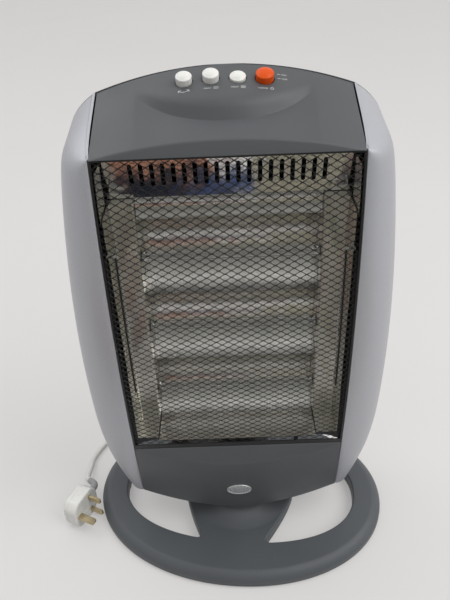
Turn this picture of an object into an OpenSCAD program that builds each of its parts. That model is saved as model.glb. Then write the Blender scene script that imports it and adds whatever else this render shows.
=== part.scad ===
// Oscillating halogen heater: a head with three quartz lamps on an oval base.
// Origin: on the floor under the middle of the base. X to the right, -Y to the front, Z up.
// Sizes are in millimetres and angles in degrees.

/* [Base] */
// Width of the oval base
base_w = 361; // [320:1:400]
// Depth of the oval base
base_d = 260; // [240:1:300]
// Height of the top of the ring above the floor
base_h = 19; // [17:1:24]
// Wall of the base shell
base_wall = 2.5; // [2:0.5:3]
// Width of each crescent opening's outline, both openings together
opening_w = 292; // [260:1:300]
// Depth of the crescent openings
opening_d = 164; // [140:1:180]
// Width of the bridge between the openings at the middle
bridge_w = 140; // [120:1:150]
// Width of the bridge at the tips of the openings
bridge_tip_w = 88; // [70:1:100]
// Radius of the neck under the head
neck_r = 44; // [38:1:50]
// Height of the top of the neck above the floor
neck_h = 34; // [32:1:38]
// Thickness of the rubber feet
foot_t = 2; // [1.5:0.5:3]

/* [Head] */
// Height of the whole heater
heater_h = 540; // [500:1:580]
// Widest width of the head
head_w = 333; // [315:1:350]
// Width of the grille between the side panels
grille_w = 233; // [215:1:240]
// Distance from the pivot axis to the rear of the head
head_rear = 75; // [70:1:90]
// Distance from the pivot axis to the front of the grille
head_front = 54.5; // [50:0.5:60]
// Height of the lower edge of the head above the floor
head_floor_z = 42; // [42:1:48]
// Wall of the plastic shells
shell_wall = 2.5; // [2:0.5:3]
// How far the base is turned under the head at rest
rest_turn = 7; // [0:1:15]

/* [Grille] */
// Height of the lower edge of the grille frame
grille_bottom = 147; // [140:1:155]
// Height of the upper edge of the grille frame
grille_top = 487; // [480:1:495]
// Gaps of the net across the grille
net_cols = 8; // [5:1:8]
// Gaps of the net up the grille
net_rows = 19; // [12:1:19]
// Width of a strand of the net
strand_w = 2; // [1.5:0.1:3]

/* [Heating] */
// Number of troughs in the reflector, one for each lamp
lamp_count = 3; // [3:1:3]
// Height of the middle lamp
lamp_mid_z = 284; // [275:1:290]
// Distance from one lamp to the next
lamp_pitch = 86; // [82:1:88]
// Diameter of a quartz tube
tube_d = 10; // [8:0.5:11]
// Width of the reflector troughs
reflector_w = 176; // [160:1:180]
// Depth of a reflector trough
trough_depth = 26; // [20:1:28]

/* [Controls] */
// Diameter of the white buttons
button_d = 14.5; // [13:0.5:16]
// Diameter of the power button
power_d = 16; // [14:0.5:17]
// Distance from one button to the next
button_pitch = 23.6; // [21:0.2:25]
// How far a released button stands out of the deck
button_out = 8; // [7:0.5:10]
// How far a button travels when it latches
button_travel = 4; // [3:0.5:5]

/* [Cord] */
// Diameter of the supply cord
cord_d = 7; // [6.5:0.5:7.5]
// Radius of the coil's outer turn, to the middle of the cord
coil_r = 42; // [40:1:46]
// Width of the plug across its pins
plug_w = 42; // [42:1:50]
// Thickness of the plug body
plug_t = 20; // [18:1:24]

/* [Hidden] */

fit = 0.3;                       // gap between pieces that only lie beside each other
run = 0.05;                      // radial clearance of a turning fit
$fn = 48;

// ---- Colours
dark = "#5c6063";
silver = "#a9adb8";
steel = "#c3c6c9";
mirror_steel = "#d9dcde";
black = "#1b1c1d";
white = "#efefe9";
orange = "#e85a12";
brass = "#cbb06a";
ceramic = "#ece6da";

// ---- Outline and profile of the head
head_top = heater_h;
z_wide = 235;                    // height of the widest point
z_mid = 322;                     // height where the front bulges most
top_corner_z = head_top - 75;    // where the upper corners start to round
low_corner_z = 170;              // where the lower corners start to round
arch_h = 21;                     // fall of the top edge from the middle to the corners
wide_y = 8;                      // where the side panels reach their full width
seam_y = 45;                     // seam between the front panels and the rear shell
corner_z = head_top - arch_h;    // top of the side panels at the seam
roll_h = 70;                     // height over which the rear rolls over to the top
panel_half = grille_w / 2;
top_half = panel_half - fit;     // half width of the top panel
frame_t = 4;                     // depth of the grille frame
floor_t = 2;                     // chassis plate

function side_x(z) = head_w / 2 - 16.7 * pow((z - z_wide) / 235, 2)
    - (z > top_corner_z ? 23.8 * pow((z - top_corner_z) / (corner_z - top_corner_z), 3.4) : 0)
    - (z < low_corner_z ? 20 * pow((low_corner_z - z) / 138, 2) : 0);
function front_y(z) = -head_front + 3.1 * (z - z_mid) / 100 + 4.05 * pow((z - z_mid) / 100, 2);
function rear_y(z) = head_rear - 14 * pow((z - 260) / 260, 2)
    - (z > head_top - roll_h ? 12 * pow((z - head_top + roll_h) / roll_h, 2) : 0);
function arch(x) = arch_h * pow(x / top_half, 2);
function span(a, b, n) = [for (i = [0:n]) a + (b - a) * i / n];
function flip(v) = [for (i = [len(v) - 1:-1:0]) v[i]];

// ---- Helpers
module xz_prism(y0, y1) translate([0, y1, 0]) rotate([90, 0, 0]) linear_extrude(y1 - y0) children();
module yz_prism(x0, x1) translate([x0, 0, 0]) rotate([90, 0, 90]) linear_extrude(x1 - x0) children();
module box(lo, hi) translate(lo) cube(hi - lo);
module y_rod(r, y0, y1, x, z) translate([x, y1, z]) rotate([90, 0, 0]) cylinder(r = r, h = y1 - y0);
module x_rod(r, x0, x1, y, z) translate([x0, y, z]) rotate([0, 90, 0]) cylinder(r = r, h = x1 - x0);
module tube(r_out, r_in, z0, z1) translate([0, 0, z0]) difference() {
    cylinder(r = r_out, h = z1 - z0);
    translate([0, 0, -1]) cylinder(r = r_in, h = z1 - z0 + 2);
}
module turned() rotate([0, 0, -rest_turn]) children();
module mirrored(flag) mirror([flag ? 1 : 0, 0, 0]) children();

// One closed skin through a row of outlines that all have the same number of points, each
// counter-clockwise when it is seen from the end of the row
module loft(rows) {
    n = len(rows[0]);
    m = len(rows);
    pts = [for (r = rows) for (p = r) p];
    sides = [for (i = [0:m - 2]) for (j = [0:n - 1]) for (k = [0, 1])
        let (a = i * n + j, b = i * n + (j + 1) % n, c = a + n, d = b + n)
        k == 0 ? [a, d, b] : [a, c, d]];
    first = [for (j = [0:n - 1]) j];
    last = [for (j = [n - 1:-1:0]) (m - 1) * n + j];
    polyhedron(pts, concat([first], sides, [last]), convexity = 8);
}

// ---- Base outline
base_n = 2.05;                   // how square the oval is
opening_n = 2.3;                 // how square the opening's outline is
rim_low = 9;                     // height of the outer wall before the slope
rim_in = 12;                     // width of the sloping rim
bridge_bow = 1.4;                // 1 gives the bridge straight flanks, 2 full arcs
function power_curve(c, n) = sign(c) * pow(abs(c), 2 / n);
function oval(a, b, n, steps) = [for (i = [0:steps - 1])
    let (t = 360 * i / steps) [a * power_curve(cos(t), n), b * power_curve(sin(t), n)]];

module base_outline(inset) polygon(oval(base_w / 2 - inset, base_d / 2 - inset, base_n, 96));
module bridge_outline(grow) {
    w = bridge_w / 2 + grow;
    t = bridge_tip_w / 2 + grow;
    y_tip = opening_d * 0.41;
    y_end = opening_d / 2 + 10;
    flank = [for (y = span(-y_end, y_end, 12)) [w - (w - t) * pow(abs(y) / y_tip, bridge_bow), y]];
    polygon(concat(flank, [for (p = flip(flank)) [-p[0], p[1]]]));
}
tip_r = 7;                       // rounding of the openings' tips
module crescent_pair(inset) offset(r = tip_r) offset(delta = -tip_r) difference() {
    polygon(oval(opening_w / 2 - inset, opening_d / 2 - inset, opening_n, 80));
    bridge_outline(inset);
}
post_r = 8;
post_bore = 5;                   // the wires pass up through the post
plate_z = foot_t;                // underside of the floor plate
plate_t = 1.5;
cavity_z = plate_z + plate_t + fit;
exit_x = 33;                     // where the cord leaves the base, in the base's own frame
exit_z = 9.5;
exit_hole_r = 5;
exit_y = base_d / 2 * pow(1 - pow(exit_x / (base_w / 2), base_n), 1 / base_n);
screw_spots = [for (a = [35, 145, 215, 325]) [base_w / 2 * 0.88 * cos(a), base_d / 2 * 0.84 * sin(a)],
    [0, -base_d * 0.4], [-20, base_d * 0.4]];
foot_spots = [for (a = [52, 128, 232, 308]) [base_w / 2 * 0.84 * cos(a), base_d / 2 * 0.88 * sin(a)],
    [-base_w * 0.43, 0], [base_w * 0.43, 0]];
foot_r = 9;
screw_r = 1.8;
screw_head_r = 3.5;

// Rim profile from the outer edge inwards: share of the rim's width, share of its height
rim_steps = [[0, 0], [0.14, 0.36], [0.42, 0.7], [0.74, 0.92], [1, 1]];
module base_solid(inset, top, low) {
    function ring(in, z) = [for (p = oval(base_w / 2 - inset - in, base_d / 2 - inset - in, base_n, 96)) [p[0], p[1], z]];
    loft(concat([ring(0, low)], [for (s = rim_steps) ring(rim_in * s[0], rim_low + (top - rim_low) * s[1])]));
}
// The neck rises from the ring in a hollow flare
flare_w = 24;
module neck_solid(r, top, low) rotate_extrude($fn = 72) polygon(concat([[0, low], [r + flare_w, low]],
    [for (k = span(1, 0, 6)) [r + flare_w * k * k, base_h - (neck_h - top) + (neck_h - 2 - base_h) * (1 - k)]],
    [[r, top - 1], [r - 1, top], [0, top]]));
module base_shell() color(dark) turned() difference() {
    union() {
        base_solid(0, base_h, plate_z + fit);
        neck_solid(neck_r, neck_h, base_h - 3);
    }
    difference() {
        union() {
            base_solid(base_wall, base_h - base_wall, 0);
            neck_solid(neck_r - base_wall, neck_h - base_wall, base_h - 5);
        }
        linear_extrude(base_h) crescent_pair(-base_wall);
        for (p = screw_spots) translate(p) cylinder(r = 4, h = base_h);
        tube(20, post_r + fit, 0, neck_h);
    }
    translate([0, 0, -1]) linear_extrude(base_h + 2) crescent_pair(0);
    for (p = screw_spots) translate([p[0], p[1], -1]) cylinder(r = screw_r + fit, h = 13);
    translate([0, 0, -1]) linear_extrude(plate_z + plate_t + 1 + fit) base_outline(base_wall + fit);
    translate([0, 0, -1]) cylinder(r = 20 + fit, h = neck_h - 8 + 1 + fit);
    translate([0, 0, -1]) cylinder(r = post_r + fit, h = neck_h + 2);
    y_rod(exit_hole_r + fit, exit_y - 16, exit_y + 5, exit_x, exit_z);
}
module base_floor_plate() color(black) turned() difference() {
    translate([0, 0, plate_z]) linear_extrude(plate_t) difference() {
        base_outline(base_wall + 2 * fit);
        crescent_pair(-base_wall - 2 * fit);
    }
    for (p = screw_spots) translate([p[0], p[1], 0]) cylinder(r = screw_r + fit, h = 10);
}
module rubber_feet() color(black) turned()
    for (p = foot_spots) translate(p) cylinder(r = foot_r, h = plate_z);
module base_screws() color(steel) turned()
    for (p = screw_spots) translate([p[0], p[1], 0.4]) {
        cylinder(r = screw_head_r, h = plate_z - 0.4);
        cylinder(r = screw_r, h = 11);
    }

// ---- Pivot between the base and the head
washer_t = 2;
flange_z = neck_h - 8 + fit;     // the post's flange lies under the neck's inner boss
bush_flange_z = neck_h + washer_t + fit;
bush_top = 60;
clip_t = 1.5;
sector_z = 64;
sector_t = 6;
post_top = 78;
gear_module = 2;
sector_teeth = 36;               // teeth of the full circle that the sector is cut from
pinion_teeth = 9;
sector_arc = [28, 138];          // the stretch of the sector that keeps its teeth
pinion_y = gear_module * (sector_teeth + pinion_teeth) / 2;

module pivot_post() color(steel) turned() difference() {
    union() {
        translate([0, 0, 20]) cylinder(r = post_r, h = post_top - 20);
        translate([0, 0, flange_z - 3]) cylinder(r = 20 - fit, h = 3);
    }
    translate([0, 0, 19]) cylinder(r = post_bore, h = post_top);
}
module thrust_washer() color(white) tube(24, post_r + fit, neck_h, neck_h + washer_t);
module retaining_clip() color(steel) tube(12, post_r, bush_top + fit, bush_top + fit + clip_t);

// Outline of a gear tooth ring: straight flanks between the root and the tip
function gear_points(n, root_r, tip_r, root_a, tip_a) = [for (i = [0:n - 1])
    let (c = 360 * i / n) each [
        root_r * [cos(c - root_a), sin(c - root_a)], tip_r * [cos(c - tip_a), sin(c - tip_a)],
        tip_r * [cos(c + tip_a), sin(c + tip_a)], root_r * [cos(c + root_a), sin(c + root_a)]]];
sector_pitch_r = gear_module * sector_teeth / 2;
pinion_pitch_r = gear_module * pinion_teeth / 2;
module gear_sector() color(white) difference() {
    translate([0, 0, sector_z]) linear_extrude(sector_t) difference() {
        union() {
            intersection() {
                rotate(90 + 180 / sector_teeth) polygon(gear_points(sector_teeth,
                    sector_pitch_r - 2.1, sector_pitch_r + 1.5, 2.9, 1.3));
                polygon([[0, 0], for (a = span(sector_arc[0], sector_arc[1], 10)) 60 * [cos(a), sin(a)]]);
            }
            circle(r = 14);
        }
    }
    translate([0, 0, sector_z - 1]) cylinder(r = post_r, h = sector_t + 2);
}
module motor_pinion() color(white) translate([0, pinion_y, 0]) {
    translate([0, 0, sector_z - 0.5]) linear_extrude(sector_t + 1) rotate(-90)
        polygon(gear_points(pinion_teeth, pinion_pitch_r - 2.1, pinion_pitch_r + 1.5, 10, 4));
    translate([0, 0, sector_z]) cylinder(r = 3, h = 20);
}

// ---- Chassis in the lower head
chassis_z = 48;
bush_r = 14;
motor_r = 24.5;
motor_y = 40;
motor_z = 76;
bracket_t = 2;
leg_x = 34;
leg_y = 36;
module chassis_floor() color(steel) difference() {
    half = [for (p = side_arc(chassis_z, 12)) [p[0], p[1]]];
    translate([0, 0, chassis_z]) linear_extrude(floor_t)
        polygon(concat(half, [for (p = flip(half)) [-p[0], p[1]]]));
    translate([0, 0, chassis_z - 1]) cylinder(r = bush_r, h = floor_t + 2);
}
module pivot_bush() color(white) difference() {
    union() {
        translate([0, 0, bush_flange_z]) cylinder(r = 22, h = chassis_z - bush_flange_z);
        translate([0, 0, bush_flange_z]) cylinder(r = bush_r, h = bush_top - bush_flange_z);
    }
    translate([0, 0, bush_flange_z - 1]) cylinder(r = post_r + run, h = bush_top);
}
module motor_bracket() color(steel) difference() {
    union() {
        box([-leg_x - 5, 22, motor_z - bracket_t], [leg_x + 5, 52, motor_z]);
        for (s = [-1, 1]) translate([s * leg_x, leg_y, chassis_z + floor_t])
            cylinder(r = 3.5, h = motor_z - bracket_t - chassis_z - floor_t);
    }
    translate([0, pinion_y, motor_z - bracket_t - 1]) cylinder(r = 3 + run, h = bracket_t + 2);
}
module swing_motor() color(steel) difference() {
    union() {
        translate([0, motor_y, motor_z]) cylinder(r = motor_r, h = 19);
        translate([-31, motor_y - 4, motor_z]) cube([62, 8, 1.5]);
    }
    translate([0, pinion_y, motor_z - 1]) cylinder(r = 3 + run, h = 10);
}

// ---- Tip-over switch: a weight that swings on a pin
tilt_x = -72;
tilt_y = 14;
tilt_pin_z = 90;
tilt_gap = 12;
module tilt_switch() color(white) difference() {
    union() {
        for (s = [-1, 1]) translate([tilt_x - 9, tilt_y + s * (tilt_gap / 2 + 1.5) - 1.5, chassis_z + floor_t])
            cube([18, 3, tilt_pin_z + 5 - chassis_z - floor_t]);
        translate([tilt_x - 9, tilt_y - tilt_gap / 2 - 3, tilt_pin_z + 5]) cube([18, tilt_gap + 6, 8]);
        translate([tilt_x - 9, tilt_y - tilt_gap / 2 - 3, chassis_z + floor_t]) cube([18, tilt_gap + 6, 2]);
    }
    y_rod(1.5 + run, tilt_y - 20, tilt_y + 20, tilt_x, tilt_pin_z);
}
module tilt_weight() color(brass) {
    y_rod(1.5, tilt_y - tilt_gap / 2 - 3, tilt_y + tilt_gap / 2 + 3, tilt_x, tilt_pin_z);
    y_rod(3, tilt_y - 2, tilt_y + 2, tilt_x, tilt_pin_z);
    translate([tilt_x, tilt_y, 68]) cylinder(r = 1.6, h = tilt_pin_z - 68 - 1);
    translate([tilt_x, tilt_y, 58]) cylinder(r = 5.4, h = 11);
}
module terminal_block() color(white)
    box([52, 6, chassis_z + floor_t], [92, 22, chassis_z + floor_t + 13]);

// ---- Bottom panel
crease_out = 9.6;                // how far the bottom panel's crease stands forward
crease_drop = 17.5;
chin_rise = 20;                  // how much the lower edge climbs from the middle to the corners
function low_row(x) = let (
        u = x / panel_half, b = 1 - u * u, zt = grille_bottom - fit, yt = front_y(zt),
        zc = zt - crease_drop * b - 0.6, yc = yt - crease_out * b,
        zb = head_floor_z + chin_rise * pow(abs(u), 1.7), yb = -50 + 14 * u * u,
        w = shell_wall)
    [[x, yb, zb], [x, -24 - fit, head_floor_z + 4], [x, -24 - fit, head_floor_z + 4 + w],
     [x, yb + w + 4, zb + w + 2], [x, yc + 3.5 + w, (zc + zb) / 2], [x, yc + w, zc - 1.2],
     [x, yt + w + 4, zt - 1.5], [x, yt + w + 4, zt], [x, yt, zt], [x, yc, zc], [x, yc + 3.5, (zc + zb) / 2]];
badge_z = 78;
badge_y = -53;                   // the panel's face at the badge
badge_sunk = 0.8;                // depth of the badge's recess
chin_tilt = 4.75;
module on_chin() translate([0, badge_y, badge_z]) rotate([chin_tilt, 0, 0]) children();
module bottom_panel() color(dark) difference() {
    loft([for (x = span(-panel_half + fit, panel_half - fit, 18)) low_row(x)]);
    on_chin() xz_prism(-20, badge_sunk) badge_outline(fit);
}
module badge_outline(grow) polygon(oval(14.5 + grow, 9 + grow, 2, 40));
module badge_blank() color(silver) on_chin() xz_prism(-0.9, badge_sunk) badge_outline(0);

// ---- Top panel, with the button deck and its scoop
rear_top_y = seam_y - fit;
deck_slope = 0.4;
deck_half = 46;                  // half width of the deck that lies at its full height
scoop_half = 79;                 // half width of the scoop
scoop_y = -8.5;                  // front of the scoop's curved edge
scoop_bow = 32;                  // how far that edge runs back to its ends
scoop_run = 8;                   // depth of the steep face between the deck and the edge
scoop_sunk = 5.5;
ledge_out = 5;
ledge_up = 12.4;
function straight(y, yr, zr, yc, zc) = zr + (zc - zr) * (yr - y) / (yr - yc);
function top_row(x) = let (
        u = x / top_half, b = 1 - u * u,
        s = max(0, 1 - pow(max(0, abs(x) - deck_half) / (scoop_half - deck_half), 2)),
        ys = min(scoop_y + scoop_bow * pow(abs(x) / scoop_half, 2.15), rear_top_y - 20), yd = ys + scoop_run,
        zr = head_top - arch(x), yt = front_y(grille_top + fit), zt = grille_top + fit,
        yc = yt + ledge_out * b + 0.5, zc = zt + ledge_up * b + 0.4,
        zd = (zr - deck_slope * (rear_top_y - yd)) * s + straight(yd, rear_top_y, zr, yc, zc) * (1 - s),
        zs = straight(ys, rear_top_y, zr, yc, zc) - scoop_sunk * s,
        w = shell_wall, yi = max(yc + 2, yt + 10),
        zi = max(straight(yi, rear_top_y, zr, yc, zc) - w - 0.6, zt + 1.7))
    [[x, yd, zd], [x, ys, zs], [x, yc, zc], [x, yt, zt], [x, yt + w + 4, zt],
     [x, yt + w + 4, zt + 1.5], [x, yi, zi], [x, ys + 2.5, zs - w],
     [x, yd + 3, zd - w - 1], [x, rear_top_y - w, zr - w - 1],
     [x, rear_top_y - w, zr - 16], [x, rear_top_y, zr - 16], [x, rear_top_y, zr]];
button_y = 27;
deck_tilt = atan(deck_slope);
module on_deck(x) translate([x, button_y, head_top - arch(x) - deck_slope * (rear_top_y - button_y)])
    rotate([deck_tilt, 0, 0]) children();
button_xs = [for (i = [0:3]) (i - 1.5) * button_pitch];
function button_r(i) = (i == 3 ? power_d : button_d) / 2;
module top_panel() color(dark) difference() {
    loft([for (x = span(-top_half, top_half, 30)) top_row(x)]);
    for (i = [0:3]) on_deck(button_xs[i]) translate([0, 0, -14]) cylinder(r = button_r(i) + 0.7, h = 26);
}
block_top = -9;                  // top of the switch block, below the deck
block_h = 20;
module switch_block() color(white) difference() {
    on_deck(0) translate([-46, -10, block_top - block_h]) cube([92, 18, block_h]);
    for (i = [0:3]) on_deck(button_xs[i]) translate([0, 0, block_top - 13]) cylinder(r = 3 + run, h = 20);
}
// A button: a domed cap on a stem that slides in the switch block
module push_button(i, pressed, tint) color(tint) on_deck(button_xs[i])
    translate([0, 0, pressed ? -button_travel : 0]) {
        translate([0, 0, -1.5]) cylinder(r = button_r(i), h = button_out);
        translate([0, 0, button_out - 1.5]) cylinder(r1 = button_r(i), r2 = button_r(i) - 1.5, h = 1.5);
        translate([0, 0, block_top - 8]) cylinder(r = 3, h = 8 - block_top);
    }
module swing_button() push_button(0, false, white);
module heat_button_one() push_button(1, false, white);
module heat_button_two() push_button(2, true, white);
module power_button() push_button(3, false, orange);

// ---- Side panels
side_low_z = 46;
low_tilt = 15;                   // how much higher the front of the lower edge is
top_tilt = 31;                   // how much lower the front of the upper edge is
lean_h = 79;                     // height over which the side panels lean to that edge
function side_lean(z) = z < 116 ? low_tilt * (116 - z) / 70
    : z > corner_z - lean_h ? -top_tilt * pow((z - corner_z + lean_h) / lean_h, 2) : 0;
side_zs = concat(span(side_low_z, 106, 6), span(148, corner_z - lean_h, 7),
    [for (d = [61, 47, 35, 25, 17, 11, 6, 2, 0]) corner_z - d]);
// One level of a side panel: a quarter of an ellipse, then straight back to the seam
function side_arc(z, inset) = let (xi = panel_half + fit, lean = side_lean(z), yf = front_y(z + lean) + inset,
        w = max(side_x(z) - inset, xi + 0.6), back = seam_y - fit)
    concat([for (a = span(0, 90, 8))
        let (x = xi + (w - xi) * sin(a), y = wide_y - (wide_y - yf) * cos(a))
        [x, y, z + lean * (back - y) / (back - yf)]], [[w, back, z]]);
module side_panel(left) color(silver) mirrored(left)
    loft([for (z = side_zs) concat(side_arc(z, 0), flip(side_arc(z, shell_wall)))]);
module left_side_panel() side_panel(true);
module right_side_panel() side_panel(false);

// ---- Rear shell
rear_low_z = 46;
rear_n = 2.8;                    // how square the rear shell is, seen from above
rear_zs = concat([rear_low_z, 60, 80, 110, 150, 200, 260], span(330, head_top - 110, 2),
    [for (d = [80, 60, 45, 34, 26, arch_h, 15, 9, 4, 0.7]) head_top - d]);
function rear_half(z) = z <= corner_z ? side_x(z) : (side_x(corner_z)) * sqrt((head_top - z) / (head_top - corner_z));
function rear_row(z, inset, front) = let (w = rear_half(z) - inset, d = max(rear_y(z) - inset - seam_y, 0.8))
    concat([[-w, front, z - inset], [w, front, z - inset]], [for (a = span(0, 180, 20))
        [w * power_curve(cos(a), rear_n), seam_y + d * power_curve(sin(a), rear_n), z - inset]]);
module rear_solid(inset, front) loft([for (z = rear_zs) rear_row(z, inset, front)]);
vent_rows = 9;
vent_pitch = 11;
module vent_group(z0, rows, half) for (k = [0:rows - 1]) for (s = [-1, 1])
    translate([s * (half / 2 + 4) - half / 2, head_rear - 30, z0 + k * vent_pitch]) cube([half, 40, 5]);
boss_spots = [[-113, 180], [113, 180], [-113, 400], [113, 400]];
boss_y = seam_y;
module rear_shell() color(dark) difference() {
    union() {
        difference() {
            rear_solid(0, seam_y);
            rear_solid(shell_wall, seam_y - 10);
        }
        for (p = boss_spots) y_rod(5, boss_y, rear_y(p[1]) - 1, p[0], p[1]);
    }
    vent_group(400, vent_rows, 48);
    vent_group(120, 6, 48);
    for (p = boss_spots) y_rod(screw_r + fit, 30, head_rear + 5, p[0], p[1]);
}
module rear_screws() color(steel) for (p = boss_spots) {
    y_rod(screw_r, boss_y - 3, rear_y(p[1]) + 1, p[0], p[1]);
    y_rod(screw_head_r, rear_y(p[1]) + 0.2, rear_y(p[1]) + 2, p[0], p[1]);
}

// ---- Grille
module front_strip(z0, z1, off0, off1) {
    zs = span(z0, z1, 20);
    polygon(concat([for (z = zs) [front_y(z) + off0, z]], [for (z = flip(zs)) [front_y(z) + off1, z]]));
}
window_half = panel_half - 3.5;
window_low = grille_bottom + 6.5;
window_high = grille_top - 3;
module grille_frame() color(black) difference() {
    yz_prism(-panel_half + fit, panel_half - fit) front_strip(grille_bottom, grille_top, 0.6, frame_t);
    box([-window_half, -90, window_low], [window_half, 20, window_high]);
}
// The net is a curved sheet with rows of diamond gaps, every second row set over by half
module grille_net() color(black) {
    net_half = window_half - 0.5;
    low = window_low + 0.5;
    high = window_high - 0.5;
    dx = 2 * net_half / net_cols;
    dz = (high - low) / net_rows;
    gx = dx / 2 - strand_w;
    gz = dz / 2 - strand_w * dz / dx;
    difference() {
        yz_prism(-net_half, net_half) front_strip(low, high, 1.6, 2.8);
        for (j = [0:net_rows - 1]) for (i = [0:net_cols - 1])
            xz_prism(-80, 20) translate([-net_half + dx * (i + 0.5), low + dz * (j + 0.5)])
                polygon([[gx, 0], [0, gz], [-gx, 0], [0, -gz]]);
        for (j = [1:net_rows - 1]) for (i = [1:net_cols - 1])
            xz_prism(-80, 20) translate([-net_half + dx * i, low + dz * j])
                polygon([[gx, 0], [0, gz], [-gx, 0], [0, -gz]]);
    }
}

// ---- Reflector, lamps and heat shield
lamp_zs = [for (i = [0:lamp_count - 1]) lamp_mid_z + (1 - i) * lamp_pitch];
trough_y = -2;                   // front edge of the troughs
lamp_y = 2;
sheet = 1;
trough_r = (pow(lamp_pitch / 2, 2) + pow(trough_depth, 2)) / (2 * trough_depth);
trough_a = asin(lamp_pitch / 2 / trough_r);
function trough_arc(zc, off) = [for (a = span(-trough_a, trough_a, 10))
    [trough_y + trough_depth - trough_r + (trough_r + off) * cos(a), zc + (trough_r + off) * sin(a)]];
reflector_top = lamp_zs[0] + lamp_pitch / 2 + 22;
reflector_low = lamp_zs[2] - lamp_pitch / 2;
low_lip_z = window_low + 1;
module reflector() color(mirror_steel) yz_prism(-reflector_w / 2, reflector_w / 2) {
    for (z = lamp_zs) polygon(concat(trough_arc(z, 0), flip(trough_arc(z, sheet))));
    polygon([[trough_y, reflector_top - 23], [trough_y, reflector_top], [trough_y + sheet, reflector_top],
        [trough_y + sheet, reflector_top - 23]]);
    polygon([[trough_y + 0.6, reflector_low - 1], [trough_y + 0.6, reflector_low + 0.6],
        [front_y(low_lip_z) + frame_t + 1, low_lip_z + 1], [front_y(low_lip_z) + frame_t + 1, low_lip_z]]);
}
wall_x = panel_half - 6;         // inside of the outer wall
wall_front_y = front_y(z_mid) + frame_t + 8.5;
wall_back_y = trough_y + trough_depth + 2;
side_gap = 0.4;
cap_r = 6.5;                     // half width of a lamp's ceramic end
cover_y = lamp_y - cap_r - 1.7;  // front of the panel that hides the ceramic ends
lamp_hole_r = 7;
// A side reflector: it closes the ends of the troughs, turns outwards in front of the lamps' ends and
// runs forward to the grille frame, with a floor below and a taller outer wall beside the slotted plate
module side_reflector(left) color(mirror_steel) mirrored(left) {
    end_x = reflector_w / 2 + side_gap;
    difference() {
        translate([0, 0, reflector_low + 4]) linear_extrude(reflector_top - reflector_low - 6) polygon([
            [end_x, wall_back_y], [end_x, cover_y], [wall_x, cover_y - 2.8], [wall_x, wall_front_y],
            [wall_x + sheet, wall_front_y], [wall_x + sheet, cover_y - 1.8], [end_x + sheet, cover_y + 1],
            [end_x + sheet, wall_back_y]]);
        for (z = lamp_zs) x_rod(lamp_hole_r, 60, 90, lamp_y, z);
    }
    translate([0, 0, reflector_low + 4]) linear_extrude(sheet) polygon([
        [end_x + 0.2, cover_y + 0.8], [end_x + 0.2, wall_front_y], [wall_x + sheet, wall_front_y],
        [wall_x + sheet, cover_y - 1.8]]);
    yz_prism(wall_x, wall_x + sheet) polygon([[wall_front_y, reflector_top - 6], [-14, reflector_top - 6],
        [-14, reflector_top + 40], [wall_front_y + 6.5, reflector_top + 40],
        [wall_front_y + 0.8, reflector_top + 10]]);
}
module left_side_reflector() side_reflector(true);
module right_side_reflector() side_reflector(false);
cap_in = 92;                     // inner end of a ceramic end, from the middle
cap_out = 111.5;
bracket_x = 112;
bracket_low = 165;
module lamp_bracket(left) color(steel) mirrored(left) difference() {
    union() {
        box([bracket_x, -20, bracket_low], [bracket_x + 1.5, boss_y - fit, reflector_top - 20]);
        box([bracket_x - 5, boss_y - 1.5 - fit, bracket_low], [bracket_x + 7, boss_y - fit, reflector_top - 20]);
    }
    for (z = lamp_zs) x_rod(2 + run, 100, 130, lamp_y, z);
    for (p = boss_spots) y_rod(screw_r + fit, 20, 60, 113, p[1]);
}
module left_lamp_bracket() lamp_bracket(true);
module right_lamp_bracket() lamp_bracket(false);
module lamp_tube(i) color("#e8ecef") difference() {
    x_rod(tube_d / 2, -cap_in, cap_in, lamp_y, lamp_zs[i]);
    x_rod(tube_d / 2 - 1, -cap_in - 1, cap_in + 1, lamp_y, lamp_zs[i]);
}
module lamp_filaments() color(steel) for (z = lamp_zs) x_rod(1.2, -cap_in, cap_in, lamp_y, z);
module upper_lamp_tube() lamp_tube(0);
module middle_lamp_tube() lamp_tube(1);
module lower_lamp_tube() lamp_tube(2);
module lamp_end_caps() color(ceramic) for (z = lamp_zs) for (s = [0, 1]) mirrored(s == 1) {
    x_rod(cap_r, cap_in, cap_out, lamp_y, z);
    x_rod(2, cap_out - 1, bracket_x + 4, lamp_y, z);
}
// Slotted mirror plate above the lamps, leaning forward from its fold
slot_count = 19;
slot_pitch = 9.7;
slot_w = 4;
slot_low = 14.8;
slot_high = 34.6;
plate_len = 56;
plate_lean = 12;
plate_past = 10.5;               // how far the plate runs past the grille, into the side panels
module top_deflector() color(mirror_steel)
    translate([0, trough_y + sheet + 0.2, reflector_top + 0.3]) rotate([90 + plate_lean, 0, 0]) difference() {
        translate([-panel_half - plate_past, 0, 0]) cube([2 * (panel_half + plate_past), plate_len, sheet]);
        for (k = [0:slot_count - 1]) translate([(k - (slot_count - 1) / 2) * slot_pitch, 0, -1]) {
            translate([-slot_w / 2, slot_low, 0]) cube([slot_w, slot_high - slot_low, 3]);
            for (y = [slot_low, slot_high]) translate([0, y, 0]) cylinder(r = slot_w / 2, h = 3);
        }
    }
shield_y = boss_y - 2 - 3;
module heat_shield() color(steel) {
    box([-bracket_x + fit, shield_y, 160], [bracket_x - fit, shield_y + sheet, 430]);
    for (z = [lamp_zs[0], lamp_zs[2]]) y_rod(4, trough_y + trough_depth + sheet, shield_y, 0, z);
}
module thermal_cutout() color(black) {
    y_rod(9, shield_y + sheet, shield_y + sheet + 6, 50, 395);
    y_rod(5, shield_y + sheet + 6, shield_y + sheet + 9, 50, 395);
}

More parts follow.
